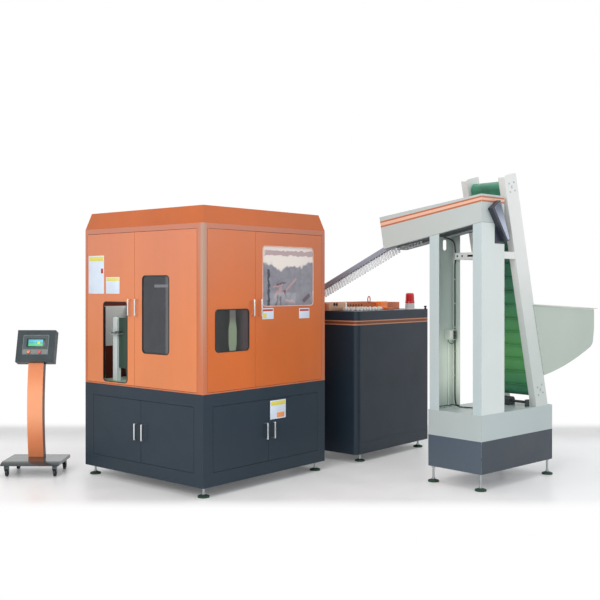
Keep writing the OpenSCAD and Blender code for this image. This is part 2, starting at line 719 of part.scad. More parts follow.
cover_x = cabinet_w - oven_x;
module oven_cover() color(ORANGE) at_oven() translate([cover_x, cover_y, oven_top]) {
    l = oven_l - cover_x - 4;
    d = oven_d - cover_y - 30;
    difference() {
        cube([l, d, cover_h]);
        translate([sheet, sheet, -1]) cube([l - 2 * sheet, d - 2 * sheet, cover_h + 2]);
        // Way through to the cabinet
        translate([-1, transfer_y - oven_y - cover_y, sheet]) cube([sheet + 2, transfer_w, cover_h]);
    }
    // Tray under the part that bridges the gap to the cabinet
    cube([-cover_x, d, sheet]);
    // Guard block at the end of the carrier loop
    translate([slot_x[1] + slot_r + 20 - cover_x, slot_y - slot_r - 30 - cover_y, 0]) cube([95, 60, 20]);
    for (x = [120:120:l - 120]) translate([x, 0, cover_h - 20]) cube([20, d, 20]);
    // Infeed plate that the chute's legs stand on
    translate([-cover_x + infeed.x - 70, infeed.y - cover_y - 60, cover_h - 5]) cube([150, 120, 5]);
}

module lamp_bank() color("#c7c2b4") at_oven() translate([160, cover_y + 60, oven_top - 420]) {
    cube([oven_l - 320, 12, 420 - 2 * sheet]);
    for (z = [30:45:345]) {
        translate([20, -30, z]) rotate([0, 90, 0]) cylinder(r = 6, h = oven_l - 360);
        for (x = [20, oven_l - 350]) translate([x, -36, z - 9]) cube([12, 37, 18]);
    }
}

beacon = [998, 100];
module beacon_base() color("#b9b6b4") at_oven() translate([beacon.x, beacon.y, oven_top])
    rotate_extrude() polygon([[0, 0], [50, 0], [50, 5], [46, 8], [44, 58], [40, 62], [0, 62]]);
module beacon_lens() color("#c8202a") at_oven() translate([beacon.x, beacon.y, oven_top + 62])
    rotate_extrude() difference() {
        polygon([[0, 0], [46, 0], [47, 4], [46, 12], [44, 14], [41, 84], [36, 94], [26, 98], [0, 99]]);
        square([32, 76]);
    }

// Loader
module loader_base() color(PALE) at_loader() translate([0, 0, base_z]) difference() {
    cube([base_l, base_d, base_top - base_z]);
    translate([sheet, sheet, 2 * sheet])
        cube([base_l - 2 * sheet, base_d - 2 * sheet, base_top - base_z - 4 * sheet]);
}

// Folded channel: web along X at y = 0, a left flange, and a right flange of its own depth
module channel(flange, right) difference() {
    square([column_w, flange]);
    translate([sheet, sheet]) square([column_w - 2 * sheet, flange]);
    translate([column_w - sheet - 1, right]) square([sheet + 2, flange]);
}
near_return = 30;
far_return = 77;
module foot_plate(flange) {
    cube([column_w, flange, 2 * sheet]);
    for (x = [40, 120, 200, 270]) translate([x, flange / 2 + 8, 0]) cylinder(r = 9, h = 12, $fn = 6);
}
motor_notch_w = 131;
motor_notch_z = sorter_bottom - 160;
module near_column() color(PALE) at_loader() translate([0, 0, base_top]) {
    difference() {
        linear_extrude(sorter_bottom - base_top) channel(column_flange, near_return);
        translate([column_w - motor_notch_w, -1, motor_notch_z - base_top])
            cube([motor_notch_w + 1, column_flange + 2, 400]);
        sorter_cut();
    }
    foot_plate(column_flange);
}
module far_column() color(PALE) at_loader() translate([0, 0, base_top]) {
    translate([0, base_d - far_in, 0]) mirror([0, 1, 0]) {
        difference() {
            linear_extrude(sorter_bottom - base_top) channel(far_flange, far_return);
            translate([170, -1, 1300]) rotate([-90, 0, 0]) translate([0, -90, 0])
                linear_extrude(sheet + 2) round_rect(46, 90, 20);
            translate([0, base_d - far_in, 0]) mirror([0, 1, 0]) sorter_cut();
        }
        foot_plate(far_flange);
    }
    // Solenoid valve on the web, with its conduit
    translate([column_w - 110, base_d - far_in - sheet - 52, 560]) cube([80, 52, 82]);
    translate([column_w - 70, base_d - far_in - sheet - 7, 1]) cylinder(r = 8, h = 560);
}
// Everything over the sorter's sloping underside, in a column's own height
module sorter_cut() translate([-1, 0, sorter_bottom - base_top]) rotate([-sorter_slope, 0, 0])
    translate([0, -200, 0]) cube([column_w + 2, 1200, 400]);

sorter_low_d = 1015;
sorter_far_drop = 126;
sorter_low_z = sorter_bottom - sorter_low_d * tan(sorter_slope);
module sorter_profile() polygon([
    [0, sorter_bottom], [sorter_low_d, sorter_low_z],
    [sorter_l, sorter_top - sorter_far_drop], [0, sorter_top]
]);
module along_x(w) rotate([90, 0, 90]) linear_extrude(w) children();
roller_gap = 24;
roller_x = [column_w / 2 - roller_gap / 2 - roller_r, column_w / 2 + roller_gap / 2 + roller_r];
roller_in = 40;
roller_len = 900;
roller_up = 46;
journal_r = 12;
// Frame along the underside's slope, starting at the near end
module on_slope() translate([0, 0, sorter_bottom]) rotate([-sorter_slope, 0, 0]) children();
module roller_axis(x, from) on_slope() translate([x, from, roller_up]) rotate([-90, 0, 0]) children();

module sorter_box() color(PALE) at_loader() difference() {
    union() {
        for (x = [0, column_w - sheet]) translate([x, 0, 0]) along_x(sheet) sorter_profile();
        difference() {
            along_x(column_w) sorter_profile();
            translate([sheet, 0, 0]) along_x(column_w - 2 * sheet) polygon([
                [sheet, 0], [sorter_low_d - 2 * sheet, 0],
                [sorter_low_d - 2 * sheet, sorter_low_z],
                [sorter_l - 2 * sheet, sorter_top], [sorter_l - 2 * sheet, sorter_top + 200],
                [sheet, sorter_top + 200]
            ]);
        }
        // Cross bars that hold the roller bearings
        on_slope() translate([1, 10, 1]) cube([column_w - 2, 26, roller_up + 30]);
        for (x = [1, column_w / 2 + chute_outer]) on_slope() translate([x, roller_in + roller_len + 4, 1])
            cube([column_w / 2 - chute_outer - 1, 26, roller_up + 30]);
        // Folded lips along the open underside
        for (x = [1, column_w - 26]) on_slope() translate([x, 4, 0]) cube([25, sorter_low_d, sheet]);
    }
    for (x = roller_x) roller_axis(x, 4) cylinder(r = journal_r + running, h = roller_len + 64);
    // Slot in the far end that the chute leaves through
    translate([column_w / 2 - chute_outer - slide_gap, sorter_low_d - 60, sorter_low_z - 1])
        cube([2 * (chute_outer + slide_gap), 140, 130]);
}
module roller(x) roller_axis(x, 14) {
    translate([0, 0, roller_in - 14 + 1]) cylinder(r = roller_r, h = roller_len - 2);
    cylinder(r = journal_r, h = roller_in - 12);
    translate([0, 0, roller_in + roller_len - 16]) cylinder(r = journal_r, h = 26);
}
module sorter_roller_left() color("#5b6064") at_loader() roller(roller_x[0]);
module sorter_roller_right() color("#5b6064") at_loader() roller(roller_x[1]);

module sorter_drive() color("#6b7580") at_loader() {
    translate([0, -45, sorter_top]) upright(44.7) polygon([[80, -111], [186, -42], [322, -351], [274, -364]]);
    // Gear motor in the column's notch
    translate([column_w - motor_notch_w + 6, -0.3, motor_notch_z]) cube([100, 90, 120]);
    translate([column_w - motor_notch_w + 56, 89, motor_notch_z + 55])
        rotate([-90, 0, 0]) cylinder(r = 42, h = 110);
}

// Elevator
rail_foot_x = 763;
rail_corner = 16;
module rail_profile() translate([rail_foot_x, base_top]) hull() {
    square([rail_w / cos(rail_lean), 0.01]);
    rotate(rail_lean) for (x = [rail_corner, rail_w - rail_corner])
        translate([x, rail_l - rail_corner]) circle(rail_corner, $fn = 32);
}
belt_w = far_rail_y - near_rail_y - rail_t - 10;
belt_y = near_rail_y + rail_t + 5;
// Frame along the rail: X across it, Z up along it, from the rail's foot on its left edge
module on_rail() translate([rail_foot_x, 0, base_top]) rotate([0, -rail_lean, 0]) children();
drum_across = 88;
tail_up = 120;
head_up = rail_l - 105;
drum_shaft_r = 12.5;

module rail_tube(y) translate([0, y, 0]) upright(rail_t) rail_profile();
module crossbar(across, up, w, h, y0, y1) on_rail() translate([across, y0, up]) cube([w, y1 - y0, h]);

module elevator_frame() color(PALE) at_loader() difference() {
    union() {
        rail_tube(near_rail_y);
        rail_tube(far_rail_y);
        // Cross members between the rails, inside the belt loop
        for (up = [500, 1000, 1500])
            crossbar(drum_across - 20, up, 40, 60, near_rail_y + rail_t - 1, far_rail_y + 1);
        // Ties from the columns' right flanges to the rails
        translate([column_w, near_rail_y + 2, tie_z]) cube([tie_reach, near_return - 6, tie_h]);
        translate([column_w, far_rail_y + rail_t - 30, tie_z])
            cube([tie_reach, base_d - far_in - far_return + 24 - far_rail_y - rail_t + 30, tie_h]);
        // Crossbar between the columns
        translate([column_w - sheet - 40, sheet, tie_z])
            cube([40, base_d - far_in - far_return + 24 - sheet, tie_h]);
    }
    for (up = [tail_up, head_up]) on_rail() translate([drum_across, -10, up])
        rotate([-90, 0, 0]) cylinder(r = drum_shaft_r + running, h = elevator_d + 20);
}
tie_z = 1813;
tie_h = 57;
tie_reach = rail_foot_x - (tie_z - base_top) * tan(rail_lean) + 20 - column_w;

module stadium(r) {
    for (z = [tail_up, head_up]) translate([drum_across, z]) circle(r);
    translate([drum_across - r, tail_up]) square([2 * r, head_up - tail_up]);
}
belt_r = drum_r + 0.3 + belt_t;
cleats = floor((head_up - tail_up) / cleat_pitch);
module elevator_belt() color("#1f7a4a") at_loader() on_rail() translate([0, belt_y, 0]) {
    upright(belt_w) difference() {
        stadium(belt_r);
        stadium(belt_r - belt_t);
    }
    for (i = [0:cleats - 1], s = [-1, 1])
        translate([drum_across + s * (belt_r + cleat_h / 2 - 1), belt_w / 2, tail_up + (i + 0.5) * cleat_pitch])
            translate([-cleat_h / 2, 6 - belt_w / 2, 0]) cube([cleat_h, belt_w - 12, 5]);
}
module drum(up) on_rail() translate([drum_across, 0, up]) rotate([-90, 0, 0]) {
    translate([0, 0, belt_y + 4]) cylinder(r = drum_r, h = belt_w - 8);
    translate([0, 0, near_rail_y + 4]) cylinder(r = drum_shaft_r, h = elevator_d - 8);
}
module head_drum() color(STEEL) at_loader() drum(head_up);
module tail_drum() color(STEEL) at_loader() drum(tail_up);

// Gear motor on the base in front of the tail drum, with a shaft to a bearing block at the near rail
motor_x = 684;
motor_y = 215;
module elevator_motor() color("#4a5258") at_loader() translate([motor_x, motor_y, base_top]) {
    intersection() {
        cube([85, 85, 70]);
        translate([42, -1, 22]) rotate([-90, 0, 0]) cylinder(r = 52, h = 90);
    }
    translate([42, 84, 36]) rotate([-90, 0, 0]) cylinder(r = 33, h = far_rail_y - motor_y - 94);
    translate([12, 84, 0]) cube([60, 50, 6]);
    translate([42, 1, 36]) rotate([90, 0, 0]) cylinder(r = 11, h = motor_y - near_rail_y - rail_t);
    translate([20, near_rail_y + rail_t - motor_y - 1, 0]) cube([44, 16, 58]);
}

// Hopper: a bin open at its top and towards the belt, with round corners at its far end
hopper_top = [[700, 1440], [hopper_reach, 1386]];
hopper_foot = [872, 846];
hopper_rise = 204;
end_lip = 46;
over_hopper = hopper_top[0].y + 200;
module hopper_side() polygon(concat(
    [[712, hopper_top[0].y], hopper_foot],
    [for (t = [0.1:0.1:1]) [
        hopper_foot.x + (hopper_reach - 144 - hopper_foot.x) * t,
        hopper_foot.y + hopper_rise * (0.52 * t + 0.48 * t * t)
    ]],
    [[hopper_reach - 114, 1073], [hopper_reach - 98, 1100], [hopper_reach - end_lip, hopper_top[1].y]]
));
// Plan outline out to a given end and a given margin round the bin
module hopper_plan(x1, margin) {
    r = rim_r - rim_w + margin;
    y0 = hopper_near - margin;
    y1 = hopper_far + margin;
    translate([600, y0]) square([x1 - 600 - r, y1 - y0]);
    translate([600, y0 + r]) square([x1 - 600, y1 - y0 - 2 * r]);
    for (y = [y0 + r, y1 - r]) translate([x1 - r, y]) circle(r);
}
module rim_band() polygon([
    hopper_top[0] + [0, 0], hopper_top[1] + [5, 0], hopper_top[1] + [5, 6], hopper_top[0] + [0, 6]
]);
module through_y() translate([0, -100, 0]) upright(base_d + 200) children();
module hopper() color("#ccd8cf") at_loader() difference() {
    union() {
        intersection() {
            linear_extrude(over_hopper) hopper_plan(hopper_reach - end_lip, 0);
            through_y() hopper_side();
        }
        intersection() {
            linear_extrude(over_hopper) hopper_plan(hopper_reach, rim_w);
            through_y() rim_band();
        }
    }
    intersection() {
        linear_extrude(over_hopper) hopper_plan(hopper_reach - end_lip - hopper_t, -hopper_t);
        through_y() union() {
            translate([-0.6 * hopper_t, 1.1 * hopper_t]) hopper_side();
            translate([0, hopper_top[1].y - 26]) square([hopper_reach, 200]);
        }
    }
    // Room for the two rails and the belt between them
    translate([0, near_rail_y, 0]) upright(elevator_d) polygon([
        [hopper_rail_x(700) - 300, 700], [hopper_rail_x(700), 700],
        [hopper_rail_x(1500), 1500], [hopper_rail_x(1500) - 300, 1500]
    ]);
}
// Right edge of the rails at a given height, with a sliding gap
function hopper_rail_x(z) = rail_foot_x + rail_w / cos(rail_lean) - (z - base_top) * tan(rail_lean) + slide_gap;

// Chute: two rails that carry the preforms by their neck rings, with a cover strip over them
chute_half = preform_r + 2;
chute_outer = ring_r + 4;
chute_inside = 25;
chute_z = sorter_bottom - chute_y * tan(sorter_slope) + 56;
rail_h = 12;
module chute_frame() at_loader() translate([column_w / 2, chute_y, chute_z])
    rotate([-chute_slope, 0, 0]) children();
module preform_chute() color("#9aa3ad") {
    chute_frame() {
        for (s = [-1, 1]) {
            translate([s > 0 ? chute_half : -chute_outer, 0, -rail_h])
                cube([chute_outer - chute_half, chute_l, rail_h]);
            translate([s > 0 ? chute_outer - sheet : -chute_outer, 0, -1])
                cube([sheet, chute_l, chute_inside + 2]);
        }
        translate([-chute_outer, 110, chute_inside]) cube([2 * chute_outer, chute_l - 110, sheet]);
    }
    // Legs at the lower end, standing on the oven's cover
    end_y = chute_y + (chute_l - 30) * cos(chute_slope);
    end_z = chute_z - (chute_l - 30) * sin(chute_slope) - 6;
    at_loader() for (s = [-1, 1])
        translate([column_w / 2 - 3 + s * (chute_outer - sheet + 3), end_y - 12, oven_top + cover_h])
            cube([6, 24, end_z - oven_top - cover_h]);
}
module preform() {
    translate([0, 0, -preform_l + preform_r]) sphere(preform_r, $fn = 20);
    translate([0, 0, -preform_l + preform_r]) cylinder(r = preform_r, h = preform_l - preform_r + 1);
    translate([0, 0, slide_gap]) cylinder(r = ring_r, h = 3);
    cylinder(r = preform_r + 1.5, h = 20);
}
preform_pitch = 2 * ring_r + 2;
// Height of the roller gap's seat for a neck ring over the rollers' axes
seat_x = roller_r + roller_gap / 2 - ring_r;
seat_up = roller_up + sqrt(roller_r * roller_r - seat_x * seat_x) + 0.6;
module preforms() color("#dfe4e4", 0.8) {
    chute_frame() for (y = [30:preform_pitch:chute_l - 110]) translate([0, y, 0]) preform();
    at_loader() on_slope() for (i = [0:5])
        translate([column_w / 2, roller_in + roller_len - 30 - i * preform_pitch, seat_up]) preform();
}

// Console
nose_drop = plate_t - 3;
nose_r = (nose_l * nose_l + nose_drop * nose_drop) / (2 * nose_drop);
module console_base() color(DARK) at_console() difference() {
    intersection() {
        translate([-plate_w / 2, -plate_d / 2, plate_z]) linear_extrude(plate_t)
            round_rect(plate_w, plate_d, plate_r);
        translate([-plate_w / 2, nose_l - plate_d / 2, 0]) union() {
            translate([0, 0, plate_z]) cube([plate_w, plate_d, plate_t]);
            translate([0, 0, post_z - nose_r]) rotate([0, 90, 0])
                cylinder(r = nose_r, h = plate_w, $fn = 160);
        }
    }
    for (x = [-castor_dx, castor_dx], y = [-castor_dy, castor_dy])
        translate([x, y, plate_z - 1]) cylinder(r = stem_r + running, h = stem_l + 2);
}

post_z = plate_z + plate_t;
post_bow = 38;
bow_r = (post_h * post_h / 4 + post_bow * post_bow) / (2 * post_bow);
// Bowed towards the operator: a ring sector cut off under the tilted box
module console_post() color(ORANGE) at_console() difference() {
    translate([post_side - post_w / 2, post_back, post_z]) intersection() {
        translate([0, -post_t / 2 - post_bow - 40, 0]) cube([post_w, post_t + post_bow + 80, post_h + 40]);
        translate([0, bow_r - post_bow - post_t / 2, post_h / 2]) rotate([0, 90, 0]) difference() {
            cylinder(r = bow_r, h = post_w, $fn = 160);
            translate([0, 0, -1]) cylinder(r = bow_r - post_t, h = post_w + 2, $fn = 160);
        }
    }
    on_box() translate([-box_w / 2, -150, 0]) cube([box_w, 300, 200]);
}
// Frame of the tilted box: its zero is the middle of the box's underside, its front at y = -box_d / 2
module on_box() translate([post_side - 10, post_back - 15, post_z + post_h + 10])
    rotate([-box_tilt, 0, 0]) children();
panel_x = -108;
panel_z = 70;
panel_w = 216;
panel_h = 166;
button_r = 11;
start_x = -54;
stop_x = 40;
buttons_z = 88;
module button_holes() for (x = [start_x, stop_x]) on_box() translate([x, -box_d / 2 - 1, buttons_z])
    rotate([-90, 0, 0]) cylinder(r = button_r + slide_gap, h = 24);
module console_box() color(DARK) at_console() difference() {
    on_box() translate([-box_w / 2, -box_d / 2, 0]) cube([box_w, box_d, box_h]);
    on_box() translate([panel_x, -box_d / 2 - 1, panel_z]) cube([panel_w, 4, panel_h]);
    button_holes();
}
module console_screen() color("#7f8a90") at_console() difference() {
    on_box() translate([panel_x + slide_gap, -box_d / 2 - 0.5, panel_z + slide_gap])
        cube([panel_w - 2 * slide_gap, 3.5, panel_h - 2 * slide_gap]);
    button_holes();
}
module button(x) on_box() translate([x, -box_d / 2, buttons_z]) rotate([-90, 0, 0]) {
    translate([0, 0, -7]) cylinder(r = button_r, h = 26);
    rotate_extrude() polygon([[0, -12], [12, -12], [14, -10], [14, -4], [0, -4]]);
}
module start_button() color("#e0642a") at_console() button(start_x);
module stop_button() color("#c22a2a") at_console() button(stop_x);

castor_in = 44;
castor_dx = plate_w / 2 - castor_in;
castor_dy = plate_d / 2 - castor_in;
castor_trail = 18;
stem_r = 6;
stem_l = plate_t / 2 - 2;
axle_r = 4;
wheel_w = 22;
fork_top = plate_z - slide_gap;
// Fork with its stem in the base plate; the wheel trails behind the stem
module fork(x, y) at_console() translate([x, y, 0]) {
    translate([0, 0, fork_top - 8]) cylinder(r = 22, h = 8);
    translate([0, 0, fork_top - 1]) cylinder(r = stem_r, h = stem_l + 1);
    translate([-16, -18, wheel_r + 34]) cube([32, 44, fork_top - wheel_r - 41]);
    for (s = [-1, 1]) translate([s > 0 ? 13 : -16, 0, 0]) upright_yz(3) {
        translate([castor_trail, wheel_r]) circle(9);
        polygon([
            [castor_trail - 9, wheel_r], [castor_trail + 9, wheel_r], [26, wheel_r + 40], [-18, wheel_r + 40]
        ]);
    }
    translate([-16, castor_trail, wheel_r]) rotate([0, 90, 0]) cylinder(r = axle_r, h = 32);
}
module upright_yz(t) rotate([90, 0, 90]) linear_extrude(t) children();
module wheel(x, y) at_console() translate([x - wheel_w / 2, y + castor_trail, wheel_r]) rotate([0, 90, 0])
    difference() {
        union() {
            translate([0, 0, 2]) cylinder(r = wheel_r, h = wheel_w - 4);
            cylinder(r = wheel_r - 8, h = wheel_w);
        }
        translate([0, 0, -1]) cylinder(r = axle_r + running, h = wheel_w + 2);
    }
module front_left_fork() color("#5a6066") fork(-castor_dx, -castor_dy);
module front_right_fork() color("#5a6066") fork(castor_dx, -castor_dy);
module back_left_fork() color("#5a6066") fork(-castor_dx, castor_dy);
module back_right_fork() color("#5a6066") fork(castor_dx, castor_dy);
module front_left_wheel() color("#23262a") wheel(-castor_dx, -castor_dy);
module front_right_wheel() color("#23262a") wheel(castor_dx, -castor_dy);
module back_left_wheel() color("#23262a") wheel(-castor_dx, castor_dy);
module back_right_wheel() color("#23262a") wheel(castor_dx, castor_dy);

lower_cabinet();
upper_cabinet();
roof_hood();
levelling_feet();
machine_bed();
clamp_frame();
stretch_tower();
air_receiver();
electric_panel();
end_base_door_near();
end_base_door_far();
front_base_door_left();
front_base_door_right();
end_door_near();
end_door_far();
front_door_left();
front_door_right();
tall_window();
small_window();
big_window();
front_mould();
rear_mould();
stretch_carriage();
base_mould();
transfer_arm();
oven_casing();
carrier_chain();
oven_cover();
lamp_bank();
beacon_base();
beacon_lens();
loader_base();
near_column();
far_column();
sorter_box();
sorter_drive();
sorter_roller_left();
sorter_roller_right();
elevator_frame();
elevator_belt();
head_drum();
tail_drum();
elevator_motor();
hopper();
preform_chute();
preforms();
console_base();
console_post();
console_box();
console_screen();
start_button();
stop_button();
front_left_fork();
front_right_fork();
back_left_fork();
back_right_fork();
front_left_wheel();
front_right_wheel();
back_left_wheel();
back_right_wheel();
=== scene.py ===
import math

import bmesh
import bpy
from mathutils import Matrix, Vector


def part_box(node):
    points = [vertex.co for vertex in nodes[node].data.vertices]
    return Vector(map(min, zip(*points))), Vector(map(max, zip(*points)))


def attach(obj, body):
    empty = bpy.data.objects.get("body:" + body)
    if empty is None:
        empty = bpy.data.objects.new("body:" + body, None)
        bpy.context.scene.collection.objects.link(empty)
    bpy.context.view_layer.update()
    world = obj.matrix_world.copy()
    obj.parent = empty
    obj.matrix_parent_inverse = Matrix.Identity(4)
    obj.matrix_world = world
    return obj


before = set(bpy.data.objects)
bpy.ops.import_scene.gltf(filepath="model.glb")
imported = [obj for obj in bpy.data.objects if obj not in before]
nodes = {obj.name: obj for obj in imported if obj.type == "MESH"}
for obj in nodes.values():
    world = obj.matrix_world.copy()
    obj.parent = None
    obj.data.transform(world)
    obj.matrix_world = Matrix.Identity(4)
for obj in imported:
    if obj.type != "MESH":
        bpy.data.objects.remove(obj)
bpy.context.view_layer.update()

# Frames of the units, in millimetres, as part.scad has them
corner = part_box("lower_cabinet")[0]


def shift(x, y, z):
    return Matrix.Translation((x, y, z))


def turn(degrees, axis):
    return Matrix.Rotation(math.radians(degrees), 4, axis)


CAB = shift(corner[0], corner[1], 0) @ Matrix.Scale(0.001, 4)
OVEN = CAB @ shift(1840, -50, 0)
LOADER = CAB @ shift(1574, -1452, 0) @ turn(-6.8, "Z")
CONSOLE = CAB @ shift(-257, 1797, 0) @ turn(-49.4, "Z")
PANEL = CONSOLE @ shift(-32, 100, 927) @ turn(-18, "X")
RAIL = LOADER @ shift(763, 0, 590) @ turn(-13.8, "Y")


# Materials
def srgb(r, g, b):
    def lin(v):
        v /= 255
        return v / 12.92 if v <= 0.04045 else ((v + 0.055) / 1.055) ** 2.4
    return (lin(r), lin(g), lin(b), 1)


def shade(colour, k):
    return tuple(min(1, c * k) for c in colour[:3]) + (1,)


class Net:
    """A material's node tree with short calls."""

    def __init__(self, name):
        self.mat = bpy.data.materials.new(name)
        self.mat.use_nodes = True
        self.tree = self.mat.node_tree
        self.bsdf = self.tree.nodes["Principled BSDF"]
        self.coords = self.tree.nodes.new("ShaderNodeTexCoord").outputs["Object"]

    def add(self, kind, **values):
        n = self.tree.nodes.new(kind)
        for key, value in values.items():
            setattr(n, key, value)
        return n

    def link(self, a, b):
        self.tree.links.new(a, b)

    def noise(self, scale, detail=3, rough=0.5, stretch=None):
        n = self.add("ShaderNodeTexNoise")
        n.inputs["Scale"].default_value = scale
        n.inputs["Detail"].default_value = detail
        n.inputs["Roughness"].default_value = rough
        if stretch:
            m = self.add("ShaderNodeMapping")
            m.inputs["Scale"].default_value = stretch
            self.link(self.coords, m.inputs["Vector"])
            self.link(m.outputs[0], n.inputs["Vector"])
        else:
            self.link(self.coords, n.inputs["Vector"])
        return n.outputs["Fac"]

    def ramp(self, fac, stops):
        r = self.add("ShaderNodeValToRGB")
        while len(r.color_ramp.elements) < len(stops):
            r.color_ramp.elements.new(0.5)
        for e, (pos, col) in zip(r.color_ramp.elements, stops):
            e.position = pos
            e.color = col if not isinstance(col, (int, float)) else (col, col, col, 1)
        self.link(fac, r.inputs[0])
        return r.outputs[0]

    def math(self, op, a, b):
        m = self.add("ShaderNodeMath", operation=op)
        for i, v in enumerate((a, b)):
            if isinstance(v, (int, float)):
                m.inputs[i].default_value = v
            else:
                self.link(v, m.inputs[i])
        return m.outputs[0]

    def mix(self, fac, a, b):
        m = self.add("ShaderNodeMix", data_type="RGBA")
        for i, v in ((0, fac), (6, a), (7, b)):
            if isinstance(v, (int, float, tuple)):
                m.inputs[i].default_value = v
            else:
                self.link(v, m.inputs[i])
        return m.outputs[2]

    def set(self, **values):
        for key, v in values.items():
            s = self.bsdf.inputs[key.replace("_", " ")]
            if isinstance(v, (int, float, tuple)):
                s.default_value = v
            else:
                self.link(v, s)

    def edges(self, radius=0.005):
        """1 along sharp edges, 0 on flat faces."""
        soft = self.add("ShaderNodeBevel", samples=4)
        soft.inputs["Radius"].default_value = radius
        flat = self.add("ShaderNodeNewGeometry").outputs["Normal"]
        dot = self.add("ShaderNodeVectorMath", operation="DOT_PRODUCT")
        self.link(soft.outputs[0], dot.inputs[0])
        self.link(flat, dot.inputs[1])
        return self.ramp(dot.outputs["Value"], [(0.86, 1.0), (0.985, 0.0)])

    def bump(self, height, strength, distance=0.001, radius=0.002):
        b = self.add("ShaderNodeBump")
        b.inputs["Strength"].default_value = strength
        b.inputs["Distance"].default_value = distance
        self.link(height, b.inputs["Height"])
        if radius:
            soft = self.add("ShaderNodeBevel", samples=4)
            soft.inputs["Radius"].default_value = radius
            self.link(soft.outputs[0], b.inputs["Normal"])
        self.link(b.outputs[0], self.bsdf.inputs["Normal"])


def axis_value(n, direction, origin):
    """Distance along a direction of the shared frame, in millimetres from an origin in metres."""
    sep = n.add("ShaderNodeSeparateXYZ")
    n.link(n.coords, sep.inputs[0])
    total = -sum(d * o for d, o in zip(direction, origin)) * 1000
    for d, out in zip(direction, sep.outputs):
        if abs(d) > 1e-9:
            total = n.math("ADD", n.math("MULTIPLY", out, d * 1000), total)
    return total


def along(n, place, axis):
    """Distance along one axis of a unit's frame, in its own millimetres."""
    direction = place.to_3x3().col[axis].normalized()
    return axis_value(n, tuple(direction), tuple(place.translation))


def band(n, value, low, high):
    """1 between two values, 0 outside them."""
    return n.math("MULTIPLY", n.math("GREATER_THAN", value, low), n.math("LESS_THAN", value, high))


def slope(n, value, low, high):
    """Soft step from 0 at one value to 1 at another."""
    m = n.add("ShaderNodeMapRange", interpolation_type="SMOOTHSTEP")
    n.link(value, m.inputs["Value"])
    m.inputs["From Min"].default_value = low
    m.inputs["From Max"].default_value = high
    return m.outputs["Result"]


def paint(name, colour, rough, vary=0.05, peel=0.1, bands=None, coat=0.15, edge_wear_and_shine=1.35,
          light_and_shade_rise=None, gloss=0.5, streak=0.0):
    """Sprayed sheet metal: cloudy tone, orange peel, dull patches, dust specks and rubbed edges,
    whose lighter colour is partly wear and partly a painted highlight.

    rise is (colour, low, high): the tone turns to that colour between two heights, as painted
    light and shade. bands is a function that paints a piece's zones over the tone. streak is the
    strength of the paler streaks painted down a panel as reflections, worn the brightness of the
    rubbed and highlighted edges, gloss the specular level.
    """
    n = Net(name)
    tone = n.ramp(n.noise(1.7, 4), [(0.3, shade(colour, 1 - vary)), (0.7, shade(colour, 1 + vary))])
    if light_and_shade_rise:
        height = along(n, Matrix(), 2)
        tone = n.mix(slope(n, height, light_and_shade_rise[1], light_and_shade_rise[2]), tone, light_and_shade_rise[0])
    if streak:
        # Paler streaks painted down the panel as reflections.
        reflection_streaks = n.ramp(n.noise(2.2, 3, 0.5, (1, 1, 0.12)), [(0.42, 0.0), (0.66, streak)])
        tone = n.mix(reflection_streaks, tone, shade(colour, 1.5))
    if bands:
        tone = bands(n, tone)
    speck = n.ramp(n.noise(260, 2), [(0.62, 0.0), (0.75, 0.10)])
    tone = n.mix(speck, tone, shade(colour, 0.6))
    # Lighter edges, partly wear and partly a painted highlight.
    chips_and_edge_shine = n.math("MULTIPLY", n.edges(), n.ramp(n.noise(22, 5, 0.7), [(0.38, 0.15), (0.62, 0.9)]))
    n.set(
        Base_Color=n.mix(chips_and_edge_shine, tone, shade(colour, edge_wear_and_shine)),
        Roughness=n.ramp(n.noise(5, 5, 0.6), [(0.3, rough - 0.07), (0.75, rough + 0.10)]),
        Coat_Weight=coat,
        Coat_Roughness=0.25,
        Specular_IOR_Level=gloss,
    )
    n.bump(n.noise(420, 2), peel)
    return n.mat


def steel(name, colour, rough, stretch=(1, 1, 60)):
    """Brushed or turned steel: fine streaks along one direction."""
    n = Net(name)
    streak = n.noise(30, 4, 0.6, stretch)
    n.set(
        Base_Color=n.ramp(streak, [(0.3, shade(colour, 0.9)), (0.7, shade(colour, 1.1))]),
        Roughness=n.ramp(streak, [(0.3, rough - 0.08), (0.7, rough + 0.1)]),
        Metallic=1.0,
    )
    n.bump(streak, 0.08, 0.0005, 0.001)
    return n.mat


def plastic(name, colour, rough, grain=0.05, alpha=1.0, glow=0.0):
    """Moulded plastic or a film: faint clouds and grain, and a glow where it is lit."""
    n = Net(name)
    tone = n.ramp(n.noise(9, 4), [(0.3, shade(colour, 0.95)), (0.7, shade(colour, 1.05))])
    n.set(
        Base_Color=tone,
        Roughness=n.ramp(n.noise(40, 4), [(0.3, max(0.02, rough - 0.06)), (0.7, rough + 0.07)]),
        Alpha=alpha,
    )
    if glow:
        n.set(Emission_Color=tone, Emission_Strength=glow)
    n.bump(n.noise(600, 2), grain, 0.0005, 0.0008)
    return n.mat


def rubber(name, colour, rough=0.65):
    """Matt rubber with pale dust."""
    n = Net(name)
    dust = n.ramp(n.noise(14, 5, 0.6), [(0.45, colour), (0.8, shade(colour, 1.5))])
    n.set(Base_Color=dust, Roughness=n.ramp(n.noise(30), [(0.3, rough - 0.1), (0.7, rough + 0.15)]))
    n.bump(n.noise(900, 2), 0.3, 0.0006, 0.001)
    return n.mat


ORANGE = srgb(204, 104, 50)
SLATE = srgb(36, 50, 62)
LINE = srgb(182, 106, 72)
PEACH = srgb(232, 184, 158)


def oven_bands(n, tone):
    """Orange stripe round the oven with a dark line along its middle."""
    z = along(n, Matrix(), 2)
    tone = n.mix(band(n, z, 1240, 1281), tone, srgb(194, 132, 100))
    return n.mix(band(n, z, 1250, 1271), tone, srgb(116, 66, 46))


def inner_jamb(n, tone):
    """Shaded red-brown inside of the end doors."""
    return n.mix(band(n, along(n, CAB, 0), 1.6, 60), tone, srgb(84, 34, 22))


